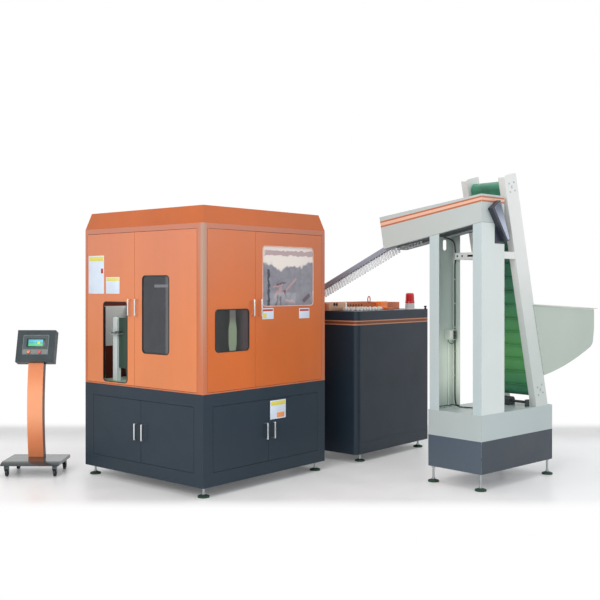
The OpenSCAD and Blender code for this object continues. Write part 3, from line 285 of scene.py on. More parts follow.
def corner_shine(n, tone):
    """Shaded red-brown inside, and a brownish grey shine down the near corner."""
    x, y = along(n, CAB, 0), along(n, CAB, 1)
    inner = n.math("MULTIPLY", band(n, x, 6, 1437.6), band(n, y, 6, 1447.6))
    tone = n.mix(inner, tone, srgb(92, 38, 24))
    near = n.math("MAXIMUM", x, y)
    shine = n.math("MULTIPLY", slope(n, near, 46, 12), slope(n, along(n, CAB, 2), 800, 1700))
    return n.mix(shine, tone, srgb(180, 148, 130))


def base_bands(n, tone):
    """Dark blue-grey lower half of the loader's base, darker still on its front as painted shade.
    """
    z = along(n, Matrix(), 2)
    # Painted shade: a darker copy of the blue-grey on the front face.
    low = n.mix(n.math("LESS_THAN", along(n, LOADER, 1), 3), srgb(76, 90, 104), srgb(40, 52, 64))
    return n.mix(band(n, z, -1, 385), tone, low)


def sorter_bands(n, tone):
    """Peach stripe between two dark lines that follow the box, and a seam low on its end."""
    y = along(n, LOADER, 1)
    z = along(n, Matrix(), 2)
    upper = n.math("ADD", z, n.math("MULTIPLY", y, 0.140))
    lower = n.math("ADD", z, n.math("MULTIPLY", y, 0.1476))
    for top, foot, colour in ((2296, 2250, LINE), (2283, 2264, PEACH)):
        stripe = n.math("MULTIPLY", n.math("LESS_THAN", upper, top),
                        n.math("GREATER_THAN", lower, foot))
        tone = n.mix(stripe, tone, colour)
    under = n.math("LESS_THAN", n.math("ADD", z, n.math("MULTIPLY", y, 0.1781)), 2093)
    return n.mix(under, tone, srgb(104, 112, 114))


def bed_zones(n, tone):
    """Pale sheet on the back wall, white posts, a dark panel between them and a black latch, with
    near-black painted shade over the parts beside the jamb.
    """
    x, y, z = (along(n, CAB, k) for k in range(3))
    over = n.math("GREATER_THAN", z, 806)
    left = n.math("MULTIPLY", over, n.math("LESS_THAN", x, 146))
    sheet = n.math("MULTIPLY", over, n.math("GREATER_THAN", y, 1360))
    tone = n.mix(sheet, tone, srgb(206, 212, 210))
    tone = n.mix(left, tone, srgb(222, 232, 232))
    # Painted shade: near black over the parts beside the jamb.
    jamb = n.math("MULTIPLY", n.math("GREATER_THAN", y, 1350), n.math("LESS_THAN", x, 153))
    tone = n.mix(n.math("MULTIPLY", over, jamb), tone, srgb(46, 26, 22))
    panel = n.math("MULTIPLY", band(n, x, 114, 126), band(n, y, 936.5, 1149.5))
    tone = n.mix(n.math("MULTIPLY", left, panel), tone, srgb(52, 74, 62))
    latch = n.math("MULTIPLY", n.math("LESS_THAN", x, 124), band(n, z, 1198, 1214))
    return n.mix(n.math("MULTIPLY", latch, band(n, y, 1084, 1182)), tone, srgb(26, 28, 28))


def column_glow(n, tone):
    """Painted light: a slightly greener and brighter stretch of the columns' inner faces at hand
    height, and a cooler bluish tone on their outer flange faces for the light from the left.
    """
    x, y, z = along(n, LOADER, 0), along(n, LOADER, 1), along(n, Matrix(), 2)
    # Painted light on the inner faces between these heights.
    lit = n.math("MULTIPLY", slope(n, z, 1350, 1000), slope(n, z, 560, 860))
    deep = n.math("MULTIPLY", band(n, y, 60, 515), band(n, x, 2, 302))
    inner = n.mix(lit, srgb(186, 200, 194), srgb(240, 250, 238))
    # Painted light: a cooler bluish tone on the outer flange faces.
    flange = n.mix(n.math("LESS_THAN", x, 1), tone, srgb(188, 204, 206))
    inner = n.mix(band(n, z, 597.5, 606), inner, srgb(70, 76, 76))
    return n.mix(deep, flange, inner)


def hopper_zones(n, tone):
    """Paler rim along the top that falls away from the rail."""
    rim = n.math("ADD", along(n, Matrix(), 2), n.math("MULTIPLY", along(n, LOADER, 0), 0.059))
    return n.mix(n.math("GREATER_THAN", rim, 1478), tone, srgb(222, 224, 218))


def key_strip(n, tone):
    """Paler strip that the console's two buttons sit on."""
    return n.mix(band(n, along(n, PANEL, 2), 73, 112), tone, srgb(112, 118, 116))


def post_zones(n, tone):
    """Front of the console's post catching painted light in the middle, with painted shade in dark
    red-brown on its sides.
    """
    z = along(n, Matrix(), 2)
    lit = n.math("MULTIPLY", slope(n, z, 250, 520), slope(n, z, 900, 640))
    tone = n.mix(lit, tone, srgb(250, 170, 126))
    return n.mix(n.math("GREATER_THAN", along(n, CONSOLE, 0), 43.3), tone, srgb(84, 26, 16))


# Heights between which the upper doors turn paler as painted light, in millimetres
DOOR_RISE = (1000, 2050)

M = {
    "orange": paint("orange_paint", ORANGE, 0.42),
    # Painted light and shade: the front doors get a darker, shaded copy of the orange and the end
    # doors a lighter, lit copy. Both turn paler towards the top as painted light and carry paler
    # streaks painted as reflections.
    "front": paint("front_orange_shaded_paint", srgb(202, 98, 26), 0.42,
                   light_and_shade_rise=(srgb(204, 118, 80), *DOOR_RISE), streak=0.22),
    "end": paint("end_orange_lit_paint", srgb(216, 126, 74), 0.42,
                 light_and_shade_rise=(srgb(208, 126, 92), *DOOR_RISE), bands=inner_jamb, streak=0.16),
    # Paler greyish pink towards the top as a painted highlight.
    "frame_orange": paint("frame_orange_paint", srgb(196, 108, 66), 0.4,
                          light_and_shade_rise=(srgb(192, 122, 98), 1400, 2040), bands=corner_shine),
    # A darker copy of the doors' orange as painted shade, with paler streaks painted as
    # reflections.
    "hood": paint("hood_orange_shaded_paint", srgb(184, 90, 30), 0.42, streak=0.2),
    "slate": paint("slate_paint", SLATE, 0.42, coat=0.0, gloss=0.3),
    "oven": paint("oven_paint", srgb(34, 46, 58), 0.38, bands=oven_bands, coat=0.0, gloss=0.3),
    # Paler towards the top as painted light.
    "pale": paint("pale_paint", srgb(198, 206, 202), 0.42, vary=0.03, edge_wear_and_shine=1.12,
                  light_and_shade_rise=(srgb(228, 229, 227), 1000, 2100)),
    "column": paint("column_paint", srgb(212, 220, 218), 0.42, vary=0.03, edge_wear_and_shine=1.12,
                    bands=column_glow),
    "base": paint("loader_base_paint", srgb(178, 190, 190), 0.42, vary=0.03, edge_wear_and_shine=1.15,
                  bands=base_bands),
    "sorter": paint("sorter_paint", srgb(188, 197, 195), 0.42, vary=0.03, edge_wear_and_shine=1.15,
                    bands=sorter_bands),
    "hopper": paint("hopper_paint", srgb(178, 190, 180), 0.35, vary=0.04, peel=0.05, edge_wear_and_shine=1.3,
                    bands=hopper_zones),
    "green": paint("tower_paint", srgb(150, 172, 156), 0.45, vary=0.1),
    "bed": paint("bed_paint", srgb(168, 192, 170), 0.45, bands=bed_zones),
    "arm": paint("arm_paint", srgb(205, 140, 120), 0.45),
    "receiver": paint("receiver_paint", srgb(96, 116, 132), 0.4),
    "drive": paint("drive_paint", srgb(42, 47, 60), 0.4),
    "motor": paint("motor_paint", srgb(50, 58, 60), 0.5),
    "post": paint("post_paint", srgb(228, 138, 92), 0.38, bands=post_zones, coat=0.0,
                  gloss=0.25, edge_wear_and_shine=1.1),
    "foot": rubber("foot_rubber", srgb(30, 58, 44)),
    "stud": steel("stud_steel", srgb(170, 176, 178), 0.28),
    "steel": steel("machined_steel", srgb(176, 180, 184), 0.3),
    "frame": steel("clamp_steel", srgb(140, 148, 152), 0.4, (60, 1, 1)),
    "drum": steel("drum_steel", srgb(190, 194, 196), 0.25),
    # The steel chute gets a light blue-grey paint standing for the reflection on its top: painted
    # reflection.
    "chute": paint("chute_reflection_paint", srgb(150, 158, 172), 0.3, vary=0.08),
    "lamp": steel("reflector_steel", srgb(210, 200, 178), 0.2),
    "white": plastic("carrier_plastic", srgb(236, 234, 228), 0.35),
    "grey": plastic("grey_plastic", srgb(178, 180, 180), 0.45, grain=0.15),
    "black": plastic("black_plastic", srgb(26, 28, 31), 0.4, grain=0.15),
    "gasket": rubber("gasket_rubber", srgb(24, 25, 27)),
    "clear_rim": rubber("clear_rim_rubber", srgb(214, 176, 164), 0.4),
    "tyre": rubber("wheel_rubber", srgb(26, 28, 30), 0.5),
    "roller": rubber("roller_rubber", srgb(74, 78, 82), 0.55),
    "fork": paint("fork_paint", srgb(62, 78, 86), 0.35, edge_wear_and_shine=1.8),
    "console": paint("console_paint", srgb(26, 44, 50), 0.42, coat=0.0, gloss=0.3),
    "plate": paint("plate_gloss", srgb(40, 52, 56), 0.16, peel=0.02, coat=0.2, gloss=0.4),
    "rim": plastic("panel_rim", srgb(112, 124, 126), 0.4),
    "film": paint("panel_film", srgb(46, 62, 66), 0.4, peel=0.03, coat=0.0, gloss=0.4, edge_wear_and_shine=1.1,
                  bands=key_strip),
    "start": plastic("start_plastic", srgb(232, 110, 44), 0.3),
    "stop": plastic("stop_plastic", srgb(196, 44, 44), 0.3),
    "lens": plastic("beacon_lens", srgb(200, 22, 26), 0.1, alpha=0.92, glow=0.05),
    "beacon": plastic("beacon_grey", srgb(202, 200, 198), 0.4),
    "preform": plastic("preform_plastic", srgb(222, 226, 230), 0.1, alpha=0.55),
}


def belt_material():
    """Green belt: woven back, darker joints and paler scuffed tops, with painted light making it
    brighter green at hand height.
    """
    n = Net("belt_rubber")
    green = srgb(60, 132, 104)
    wear = n.ramp(n.noise(6, 5, 0.65), [(0.35, shade(green, 0.7)), (0.7, shade(green, 1.15))])
    weave = n.add("ShaderNodeTexWave", bands_direction="Z")
    weave.inputs["Scale"].default_value = 90
    weave.inputs["Distortion"].default_value = 0.4
    n.link(n.coords, weave.inputs["Vector"])
    z = along(n, Matrix(), 2)
    # Painted light: brighter green between these heights.
    lit = n.math("MULTIPLY", slope(n, z, 1750, 1000), slope(n, z, 620, 1000))
    n.set(
        Base_Color=n.mix(lit, wear, srgb(92, 166, 98)),
        Roughness=n.ramp(n.noise(20), [(0.3, 0.32), (0.7, 0.5)]),
    )
    n.bump(weave.outputs["Fac"], 0.15, 0.0005, 0.001)
    return n.mat


def pane_material(name, colour, alpha, rough, glow):
    """Tinted sheet that shows the shapes behind it, softly smeared."""
    n = Net(name)
    haze = n.ramp(n.noise(9, 5, 0.7), [(0.3, shade(colour, 0.8)), (0.7, shade(colour, 1.2))])
    n.set(
        Base_Color=glow(n, haze),
        Alpha=alpha,
        Roughness=n.ramp(n.noise(12, 4), [(0.3, rough), (0.7, rough + 0.08)]),
        Specular_IOR_Level=0.5,
    )
    n.bump(n.noise(30, 2), 0.02, 0.0005, 0)
    return n.mat


# Pink and dark arms behind the big window: x, z to x, z and half width, in millimetres
PINK_STROKES = [
    (900, 1530, 1060, 1652, 7), (780, 1590, 890, 1600, 6), (838, 1530, 884, 1580, 17),
    (930, 1480, 1050, 1462, 5), (800, 1500, 830, 1560, 6),
]
DARK_STROKES = [
    (818, 1440, 842, 1520, 8), (878, 1440, 866, 1508, 8), (940, 1500, 910, 1560, 7),
    (820, 1606, 930, 1622, 5), (1160, 1470, 1240, 1520, 16),
]


def stroke(n, x, z, p, q, width):
    """1 along a straight soft-edged stroke between two points, 0 elsewhere."""
    length = math.dist(p, q)
    dx, dz = (q[0] - p[0]) / length, (q[1] - p[1]) / length
    run = n.math("ADD", n.math("MULTIPLY", x, dx), n.math("MULTIPLY", z, dz))
    run = n.math("ADD", run, -p[0] * dx - p[1] * dz)
    off = n.math("ADD", n.math("MULTIPLY", x, -dz), n.math("MULTIPLY", z, dx))
    off = n.math("ADD", off, p[0] * dz - p[1] * dx)
    near = slope(n, n.math("ABSOLUTE", off, 0), width + 7, width - 4)
    return n.math("MULTIPLY", near, band(n, run, 0, length))


def tall_glow(n, tone):
    """Brighter strip by the near edge and a bar of light at the top."""
    y, z = along(n, CAB, 1), along(n, Matrix(), 2)
    tone = n.mix(slope(n, y, 440, 412), tone, srgb(96, 98, 102))
    bar = n.math("MULTIPLY", band(n, z, 1584, 1606), n.math("LESS_THAN", y, 560))
    return n.mix(bar, tone, srgb(118, 120, 126))


def small_glow(n, tone):
    """Pale green bottle shape standing in the middle."""
    x, z = along(n, CAB, 0), along(n, Matrix(), 2)
    wide = n.math("MULTIPLY", slope(n, z, 1340, 1250), slope(n, z, 1080, 1160))
    half = n.math("ADD", 32, n.math("MULTIPLY", wide, 12))
    off = n.math("ABSOLUTE", n.math("ADD", x, -314), 0)
    inside = n.math("SUBTRACT", 1, slope(n, n.math("SUBTRACT", off, half), -5, 5))
    tone = n.mix(slope(n, x, 380, 440), tone, srgb(72, 60, 62))
    bottle = n.mix(slope(n, z, 1370, 1280), srgb(112, 110, 108), srgb(136, 150, 126))
    return n.mix(inside, tone, bottle)


def big_glow(n, tone):
    """Light from the open top over the grey outline of the machinery."""
    x, z = along(n, CAB, 0), along(n, Matrix(), 2)
    wobble = n.math("SUBTRACT", n.noise(24, 2), 0.5)
    x = n.math("ADD", x, n.math("MULTIPLY", wobble, 46))
    z = n.math("ADD", z, n.math("MULTIPLY", wobble, 38))
    line = n.math("ADD", z, n.math("MULTIPLY", n.noise(7, 2), 190))
    tone = n.mix(slope(n, line, 1840, 1868), tone, srgb(255, 246, 240))
    grey = n.math("MULTIPLY", band(n, z, 1842, 1884), slope(n, x, 660, 700))
    tone = n.mix(grey, tone, srgb(206, 184, 186))
    post = n.math("MULTIPLY", band(n, x, 712, 738), n.math("LESS_THAN", z, 1730))
    tone = n.mix(post, tone, srgb(92, 92, 104))
    for strokes, colour in ((PINK_STROKES, srgb(206, 172, 174)),
                            (DARK_STROKES, srgb(118, 102, 112))):
        for x0, z0, x1, z1, w in strokes:
            tone = n.mix(stroke(n, x, z, (x0, z0), (x1, z1), w), tone, colour)
    return tone


M["belt"] = belt_material()
M["tall_pane"] = pane_material("tall_pane", srgb(54, 57, 62), 0.88, 0.12, tall_glow)
M["small_pane"] = pane_material("small_pane", srgb(44, 46, 46), 0.88, 0.12, small_glow)
M["big_pane"] = pane_material("big_pane", srgb(158, 158, 168), 0.72, 0.08, big_glow)

LOOK = {
    "slate": "lower_cabinet front_base_door_left front_base_door_right "
             "end_base_door_near end_base_door_far",
    "orange": "oven_cover", "frame_orange": "upper_cabinet", "hood": "roof_hood",
    "end": "end_door_near end_door_far", "front": "front_door_left front_door_right",
    "foot": "levelling_feet", "bed": "machine_bed", "green": "stretch_tower",
    "steel": "front_mould rear_mould stretch_carriage base_mould", "frame": "clamp_frame",
    "tall_pane": "tall_window", "small_pane": "small_window", "big_pane": "big_window",
    "grey": "electric_panel", "receiver": "air_receiver", "arm": "transfer_arm",
    "oven": "oven_casing", "white": "carrier_chain", "lamp": "lamp_bank",
    "beacon": "beacon_base", "lens": "beacon_lens", "base": "loader_base",
    "pale": "elevator_frame", "column": "near_column far_column", "sorter": "sorter_box",
    "drive": "sorter_drive", "motor": "elevator_motor", "hopper": "hopper",
    "roller": "sorter_roller_left sorter_roller_right", "drum": "head_drum tail_drum",
    "belt": "elevator_belt", "chute": "preform_chute", "preform": "preforms",
    "post": "console_post", "plate": "console_base", "console": "console_box",
    "film": "console_screen", "start": "start_button", "stop": "stop_button",
    "fork": "front_left_fork front_right_fork back_left_fork back_right_fork",
    "tyre": "front_left_wheel front_right_wheel back_left_wheel back_right_wheel",
}
for look, names in LOOK.items():
    for name in names.split():
        for material_slot in nodes[name].material_slots:
            material_slot.material = M[look]


# Pieces
SHARP_ANGLE = 35
CORNER_STEPS = 6


def piece(name, bm, place, material, body="line"):
    """One object from a bmesh drawn in millimetres in a unit's frame."""
    bm.transform(place)
    bmesh.ops.recalc_face_normals(bm, faces=bm.faces)
    mesh = bpy.data.meshes.new(name)
    bm.to_mesh(mesh)
    bm.free()
    mesh.materials.append(material)
    o = bpy.data.objects.new(name, mesh)
    bpy.context.collection.objects.link(o)
    mesh.shade_smooth()
    mesh.set_sharp_from_angle(angle=math.radians(SHARP_ANGLE))
    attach(o, body)
    return o


def add_box(bm, low, high, bevel, segments=2):
    """Box between two corners, with rounded edges."""
    made = bmesh.ops.create_cube(bm, size=1)["verts"]
    size = [h - l for l, h in zip(low, high)]
    mid = [(h + l) / 2 for l, h in zip(low, high)]
    bmesh.ops.scale(bm, vec=size, verts=made)
    bmesh.ops.translate(bm, vec=mid, verts=made)
    edges = list({e for v in made for e in v.link_edges})
    bmesh.ops.bevel(bm, geom=edges, offset=bevel, segments=segments, affect="EDGES",
                    profile=0.5)


def bridge(bm, a, b):
    """Quads between two loops of equally many vertices."""
    for i in range(len(a)):
        j = (i + 1) % len(a)
        bm.faces.new((a[i], a[j], b[j], b[i]))


def add_rings(bm, rings):
    """Closed solid through a row of loops, capped at both ends."""
    for a, b in zip(rings, rings[1:]):
        bridge(bm, a, b)
    bm.faces.new(rings[0])
    bm.faces.new(rings[-1])


def add_turned(bm, at, profile, axis="Z", steps=24, place=Matrix()):
    """A solid of revolution from (radius, height) points, closed at both ends."""
    face = {"Z": Matrix(), "Y": turn(-90, "X"), "X": turn(90, "Y"), "-Y": turn(90, "X")}[axis]
    m = place @ shift(*at) @ face
    rings = []
    for r, h in profile:
        rings.append([bm.verts.new(m @ Vector((r * math.cos(a), r * math.sin(a), h)))
                      for a in (2 * math.pi * i / steps for i in range(steps))])
    add_rings(bm, rings)


def rounded(w, h, r):
    """Points round a rectangle with its lower left corner at zero."""
    points = []
    for cx, cy, start in ((w - r, h - r, 0), (r, h - r, 90), (r, r, 180), (w - r, r, 270)):
        for i in range(CORNER_STEPS + 1):
            a = math.radians(start + 90 * i / CORNER_STEPS)
            points.append((cx + r * math.cos(a), cy + r * math.sin(a)))
    return points


def add_ring(bm, at, w, h, r, out, inside, y0, y1):
    """Flat frame round a rounded opening, in the XZ plane from y0 to y1."""
    loops = []
    for grow, y in ((out, y1), (out, y0), (-inside, y0), (-inside, y1)):
        loops.append([bm.verts.new((at[0] - grow + x, y, at[1] - grow + z))
                      for x, z in rounded(w + 2 * grow, h + 2 * grow, max(1, r + grow))])
    for k in range(4):
        bridge(bm, loops[k], loops[(k + 1) % 4])


def add_tube(bm, points, r, steps):
    """Round tube along points, with capped ends."""
    points = [Vector(p) for p in points]
    rings = []
    up = Vector((0.123, 0.456, 0.881)).normalized()
    for i, p in enumerate(points):
        d = (points[min(i + 1, len(points) - 1)] - points[max(i - 1, 0)]).normalized()
        side = d.cross(up).normalized()
        other = side.cross(d)
        rings.append([bm.verts.new(p + r * (math.cos(a) * side + math.sin(a) * other))
                      for a in (2 * math.pi * k / steps for k in range(steps))])
    add_rings(bm, rings)


def add_plate(bm, outline, y0, y1):
    """Flat plate with an outline of four (x, z) points, from y0 to y1."""
    front = [bm.verts.new((x, y0, z)) for x, z in outline]
    back = [bm.verts.new((x, y1, z)) for x, z in outline]
    bm.faces.new(front)
    bm.faces.new(back[::-1])
    for i in range(4):
        j = (i + 1) % 4
        bm.faces.new((front[i], back[i], back[j], front[j]))


def smooth_path(points, steps):
    """Catmull-Rom curve through points."""
    p = [Vector(v) for v in points]
    p = [2 * p[0] - p[1]] + p + [2 * p[-1] - p[-2]]
    out = []
    for a, b, c, d in zip(p, p[1:], p[2:], p[3:]):
        for i in range(steps):
            t = i / steps
            out.append(0.5 * (2 * b + (c - a) * t + (2 * a - 5 * b + 4 * c - d) * t * t
                              + (3 * b - a - 3 * c + d) * t ** 3))
    return out + [p[-2]]


# Frames with x along a door's wall, y into the cabinet and z up
WALL_END = CAB @ turn(-90, "Z") @ Matrix.Scale(-1, 4, (1, 0, 0))
WALL_FRONT = CAB

# Rubber rims of the windows and of the cut-out
rims = [
    ("tall_rim", WALL_END, (385, 1062), 316, 613, "gasket", "end_near"),
    ("small_rim", WALL_FRONT, (126, 1092), 366, 322, "gasket", "front_left"),
    ("big_rim", WALL_FRONT, (652, 1432), 630, 484, "clear_rim", "front_right"),
    ("cutout_rim", WALL_END, (892, 808), 310, 655, "gasket", "end_far"),
]
for name, wall, at, w, h, look, body in rims:
    bm = bmesh.new()
    add_ring(bm, at, w, h, 30, 4, 3, -2.2, 3.2)
    piece(name, bm, wall, M[look], body)

# Plain colour fields where the real machine has notices
FIELD = plastic("field_film", srgb(214, 226, 240), 0.45)
YELLOW = plastic("field_yellow", srgb(226, 214, 96), 0.45)
RED = plastic("field_red", srgb(178, 40, 36), 0.45)
ORANGE_FIELD = plastic("field_orange", srgb(236, 150, 92), 0.45)
fields = [
    ("end_field_large", WALL_END, (1196, 1530), 209, 318, YELLOW, 36, "end_far"),
    ("end_field_small", WALL_END, (991, 1531), 177, 137, YELLOW, 24, "end_far"),
    ("front_field_left", WALL_FRONT, (646, 1328), 134, 88, RED, 16, "front_right"),
    ("front_field_right", WALL_FRONT, (1099, 1323), 133, 85, RED, 16, "front_right"),
    ("base_field", WALL_FRONT, (740, 514), 189, 152, YELLOW, 34, "front_base_right"),
]
for name, wall, at, w, h, colour, strip, body in fields:
    bm = bmesh.new()
    add_box(bm, (at[0], -0.8, at[1]), (at[0] + w, 0.2, at[1] + h), 0.3)
    piece(name, bm, wall, FIELD, body)
    bm = bmesh.new()
    add_box(bm, (at[0] + 8, -1.3, at[1] + h - strip - 8), (at[0] + w - 8, -0.7, at[1] + h - 8), 0.2)
    piece(name + "_strip", bm, wall, colour, body)

patches = [
    ("front_patch", WALL_FRONT, (652, 1336), 44, 40, YELLOW, "front_right"),
    ("end_patch", WALL_END, (1206, 1700), 30, 40, RED, "end_far"),
    ("base_patch", WALL_FRONT, (820, 524), 90, 40, ORANGE_FIELD, "front_base_right"),
]
for name, wall, at, w, h, colour, body in patches:
    bm = bmesh.new()
    add_box(bm, (at[0], -1.2, at[1]), (at[0] + w, -0.6, at[1] + h), 0.2)
    piece(name, bm, wall, colour, body)

# Bright caps on the pull handles
HANDLE = steel("handle_steel", srgb(226, 228, 228), 0.22)
handles = [
    ("front_base_handle_left", WALL_FRONT, 676.5, 431, "front_base_left"),
    ("front_base_handle_right", WALL_FRONT, 763.5, 431, "front_base_right"),
    ("end_base_handle_near", WALL_END, 676.5, 431, "end_base_near"),
    ("end_base_handle_far", WALL_END, 763.5, 431, "end_base_far"),
    ("front_handle_left", WALL_FRONT, 521.5, 1423, "front_left"),
    ("front_handle_right", WALL_FRONT, 608.5, 1423, "front_right"),
    ("end_handle_near", WALL_END, 756.5, 1423, "end_near"),
    ("end_handle_far", WALL_END, 843.5, 1423, "end_far"),
]
for name, wall, x, z, body in handles:
    bm = bmesh.new()
    add_box(bm, (x - 7, -38, z - 66), (x + 7, -28.5, z + 66), 3, 3)
    for end in (-1, 1):
        add_box(bm, (x - 7, -30, z + end * 61.5 - 4.5), (x + 7, 0.2, z + end * 61.5 + 4.5), 1)
    piece(name, bm, wall, HANDLE, body)

# Studs of the levelling feet, over the dark pads, with a nut below and one under the frame
bm = bmesh.new()
for place, spots, top in (
    (CAB, [(60, 60), (1380, 60), (60, 1390), (1380, 1390)], 80),
    (OVEN, [(120, 60), (1080, 60), (120, 790), (1080, 790)], 75),
    (LOADER, [(30, 30), (970, 30), (30, 497), (970, 497)], 130),
):
    for x, y in spots:
        add_turned(bm, (x, y, 0), [(8.6, 22.5), (8.6, top - 14)], place=place)
        add_turned(bm, (x, y, 0), [(14, 22.3), (14, 34)], steps=6, place=place)
        add_turned(bm, (x, y, 0), [(15, top - 14.4), (15, top - 0.3)], steps=6, place=place)
piece("foot_studs", bm, Matrix(), M["stud"])

# Light face of the sorter's guard, with its screws
bm = bmesh.new()
add_plate(bm, [(106, 2209), (186, 2258), (312, 1966), (287, 1960)], -46.5, -44.9)
for x, z in ((122, 2206), (180, 2236), (298, 1978)):
    add_turned(bm, (x, -46, z), [(5, 0), (5, 2.4), (3, 3.2)], "-Y", 12)
# Its paint darkens towards the top as painted shade, with the lighter lower part as a painted
# highlight.
GUARD = paint("guard_face_paint", srgb(176, 184, 202), 0.3, light_and_shade_rise=(srgb(84, 92, 110), 2060, 2240))
piece("guard_face", bm, LOADER, GUARD)

# Rivets down the hopper's edges and screws on the rails' faces
RIVET = [(5, -0.4), (5, 1.0), (2.5, 2.4)]
SCREW = [(4, -0.4), (4, 0.8), (2, 2)]
bm = bmesh.new()
for hopper_y, rail_y, axis in ((-4, -2, "-Y"), (430, 430, "Y")):
    for k in range(9):
        t = k / 8
        add_turned(bm, (726 + 142 * t, hopper_y, 1400 - 530 * t), RIVET, axis, 12)
    for k in range(4):
        add_turned(bm, (766, rail_y, 1390 - 24 * k), SCREW, axis, 12)
piece("hopper_rivets", bm, LOADER, M["stud"])

# Small fittings on top of the oven
OVEN_TOP = 1365
bm = bmesh.new()
add_box(bm, (3, 318, OVEN_TOP - 0.3), (238, 361, 1438), 5, 3)
INFEED = paint("infeed_paint", srgb(214, 164, 132), 0.45, edge_wear_and_shine=1.2)
piece("infeed_cover", bm, OVEN, INFEED)
bm = bmesh.new()
for x in (72, 108):
    add_turned(bm, (x, 318.3, 1424), [(15, 0), (15, 3), (11, 5), (9, 2.5), (3, 2.5)], "-Y", 20)
for k in range(6):
    add_turned(bm, (330 + 44 * k, 360.3, 1410), [(11, 0), (11, 2), (9, 3.4), (4, 3.4)], "-Y", 14)
piece("cover_knobs", bm, OVEN, M["black"])
bm = bmesh.new()
add_turned(bm, (268, 336, OVEN_TOP), [
    (32, -0.3), (32, 4), (20, 12), (15, 26), (13, 66), (10, 72), (6, 74)], steps=28)
piece("infeed_pin", bm, OVEN, M["white"])
bm = bmesh.new()
turns = [math.radians(d) for d in range(12, 350, 13)]
loop = [(673 + 20 * math.sin(a), 361.5, 1462 - 30 * math.cos(a)) for a in turns]
add_tube(bm, loop, 5, 8)
add_box(bm, (660, 356, 1430.7), (686, 367, 1437), 1.5)
piece("lift_loop", bm, OVEN, plastic("loop_red", srgb(206, 62, 44), 0.4))
bm = bmesh.new()
add_box(bm, (780, 322, OVEN_TOP - 0.3), (938, 361, 1442), 8, 4)
add_box(bm, (800, 300, OVEN_TOP - 0.3), (900, 323, 1392), 5, 3)
# Its faint glow is painted light: the clear guard is no lamp.
CLEAR_ORANGE = plastic("clear_orange", srgb(255, 134, 52), 0.15, alpha=0.88, glow=0.08)
piece("clear_guard", bm, OVEN, CLEAR_ORANGE)
bm = bmesh.new()
add_turned(bm, (1176, 34, OVEN_TOP), [
    (13, -0.3), (13, 5), (8, 8), (8, 15), (14, 19), (14, 28), (10, 32)], steps=20)
piece("corner_knob", bm, OVEN, M["black"])

# Harness clipped down the far column and along the base
bm = bmesh.new()
drop = smooth_path([
    (178, 503, 1998), (235, 503, 1990), (278, 500, 1976), (294, 489, 1950), (296, 482, 1900),
    (294, 474, 1862), (294, 472, 1836), (296, 480, 1790), (296, 484, 1740), (296, 484, 1400),
    (296, 484, 1000), (296, 484, 700), (292, 476, 630), (280, 452, 601), (268, 416, 596),
    (276, 368, 595.5), (292, 312, 595.5), (298, 250, 595.5),
], 6)
add_tube(bm, drop, 5, 10)
piece("column_harness", bm, LOADER, M["black"])
bm = bmesh.new()
for z in (1650, 1450, 1250, 1050, 850):
    add_box(bm, (289.5, 476, z - 6), (301.3, 492, z + 6), 2)
add_box(bm, (286, 463, 1822), (301.3, 486, 1866), 4, 3)
add_box(bm, (270, 372, 589.7), (284, 392, 601.5), 2)
piece("harness_clips", bm, LOADER, M["grey"])

# Valve on the far column: pale face, ribbed coil and a green lead
bm = bmesh.new()
add_box(bm, (199, 455, 1160), (236, 458.5, 1223), 1)
add_turned(bm, (217, 455.3, 1196), [(11, 0), (11, 2), (8, 3.4), (4, 3.4)], "-Y", 20)
piece("valve_face", bm, LOADER, M["white"])
bm = bmesh.new()
for k in range(6):
    add_box(bm, (241, 450, 1156 + 12 * k), (272, 458.5, 1165 + 12 * k), 1)
piece("valve_coil", bm, LOADER, M["black"])
bm = bmesh.new()
lead = smooth_path([
    (206, 484, 1151), (206, 482, 1134), (226, 474, 1118),
    (254, 474, 1116), (278, 480, 1126), (293, 484, 1128),
], 6)
add_tube(bm, lead, 3, 8)
piece("valve_lead", bm, LOADER, plastic("lead_green", srgb(70, 120, 74), 0.4))

# Slot plate and bolts of the crossbar between the columns
bm = bmesh.new()
add_box(bm, (259.6, 150, 1834), (261.3, 330, 1850), 0.6)
for y in (382, 432):
    add_turned(bm, (261.2, y, 1842), [(8, -2.6), (8, 0.3)], "X", 6)
piece("crossbar_slot", bm, LOADER, M["black"])

# Folded strip on the hopper's slanted edge
bm = bmesh.new()
add_plate(bm, [(714, 1430), (740, 1437), (892, 862), (870, 850)], -4, -1.7)
piece("hopper_strip", bm, LOADER, M["hopper"])

# Screws of the drums' bearings, at both ends of the rails
bm = bmesh.new()
for y, axis in ((2, "-Y"), (426, "Y")):
    for up in (1833, 120):
        for dx in (-34, 34):
            for dz in (-34, 34):
                add_turned(bm, (88 + dx, y, up + dz), [(7, -0.4), (7, 4), (5, 5)], axis, 6)
piece("bearing_screws", bm, RAIL, M["stud"])

# Screen of the console: dark glass with plain blue and green fields
GLASS = plastic("screen_glass", srgb(16, 40, 46), 0.2)
SKY = plastic("screen_blue", srgb(74, 180, 204), 0.3, glow=0.12)
LEAF = plastic("screen_green", srgb(78, 190, 124), 0.3, glow=0.12)
PANEL_FACE = -45.5


def tile(name, x0, z0, x1, z1, depth, material):
    bm = bmesh.new()
    add_box(bm, (x0, PANEL_FACE - depth, z0), (x1, PANEL_FACE + 0.2, z1), 0.4)
    piece(name, bm, PANEL, material)


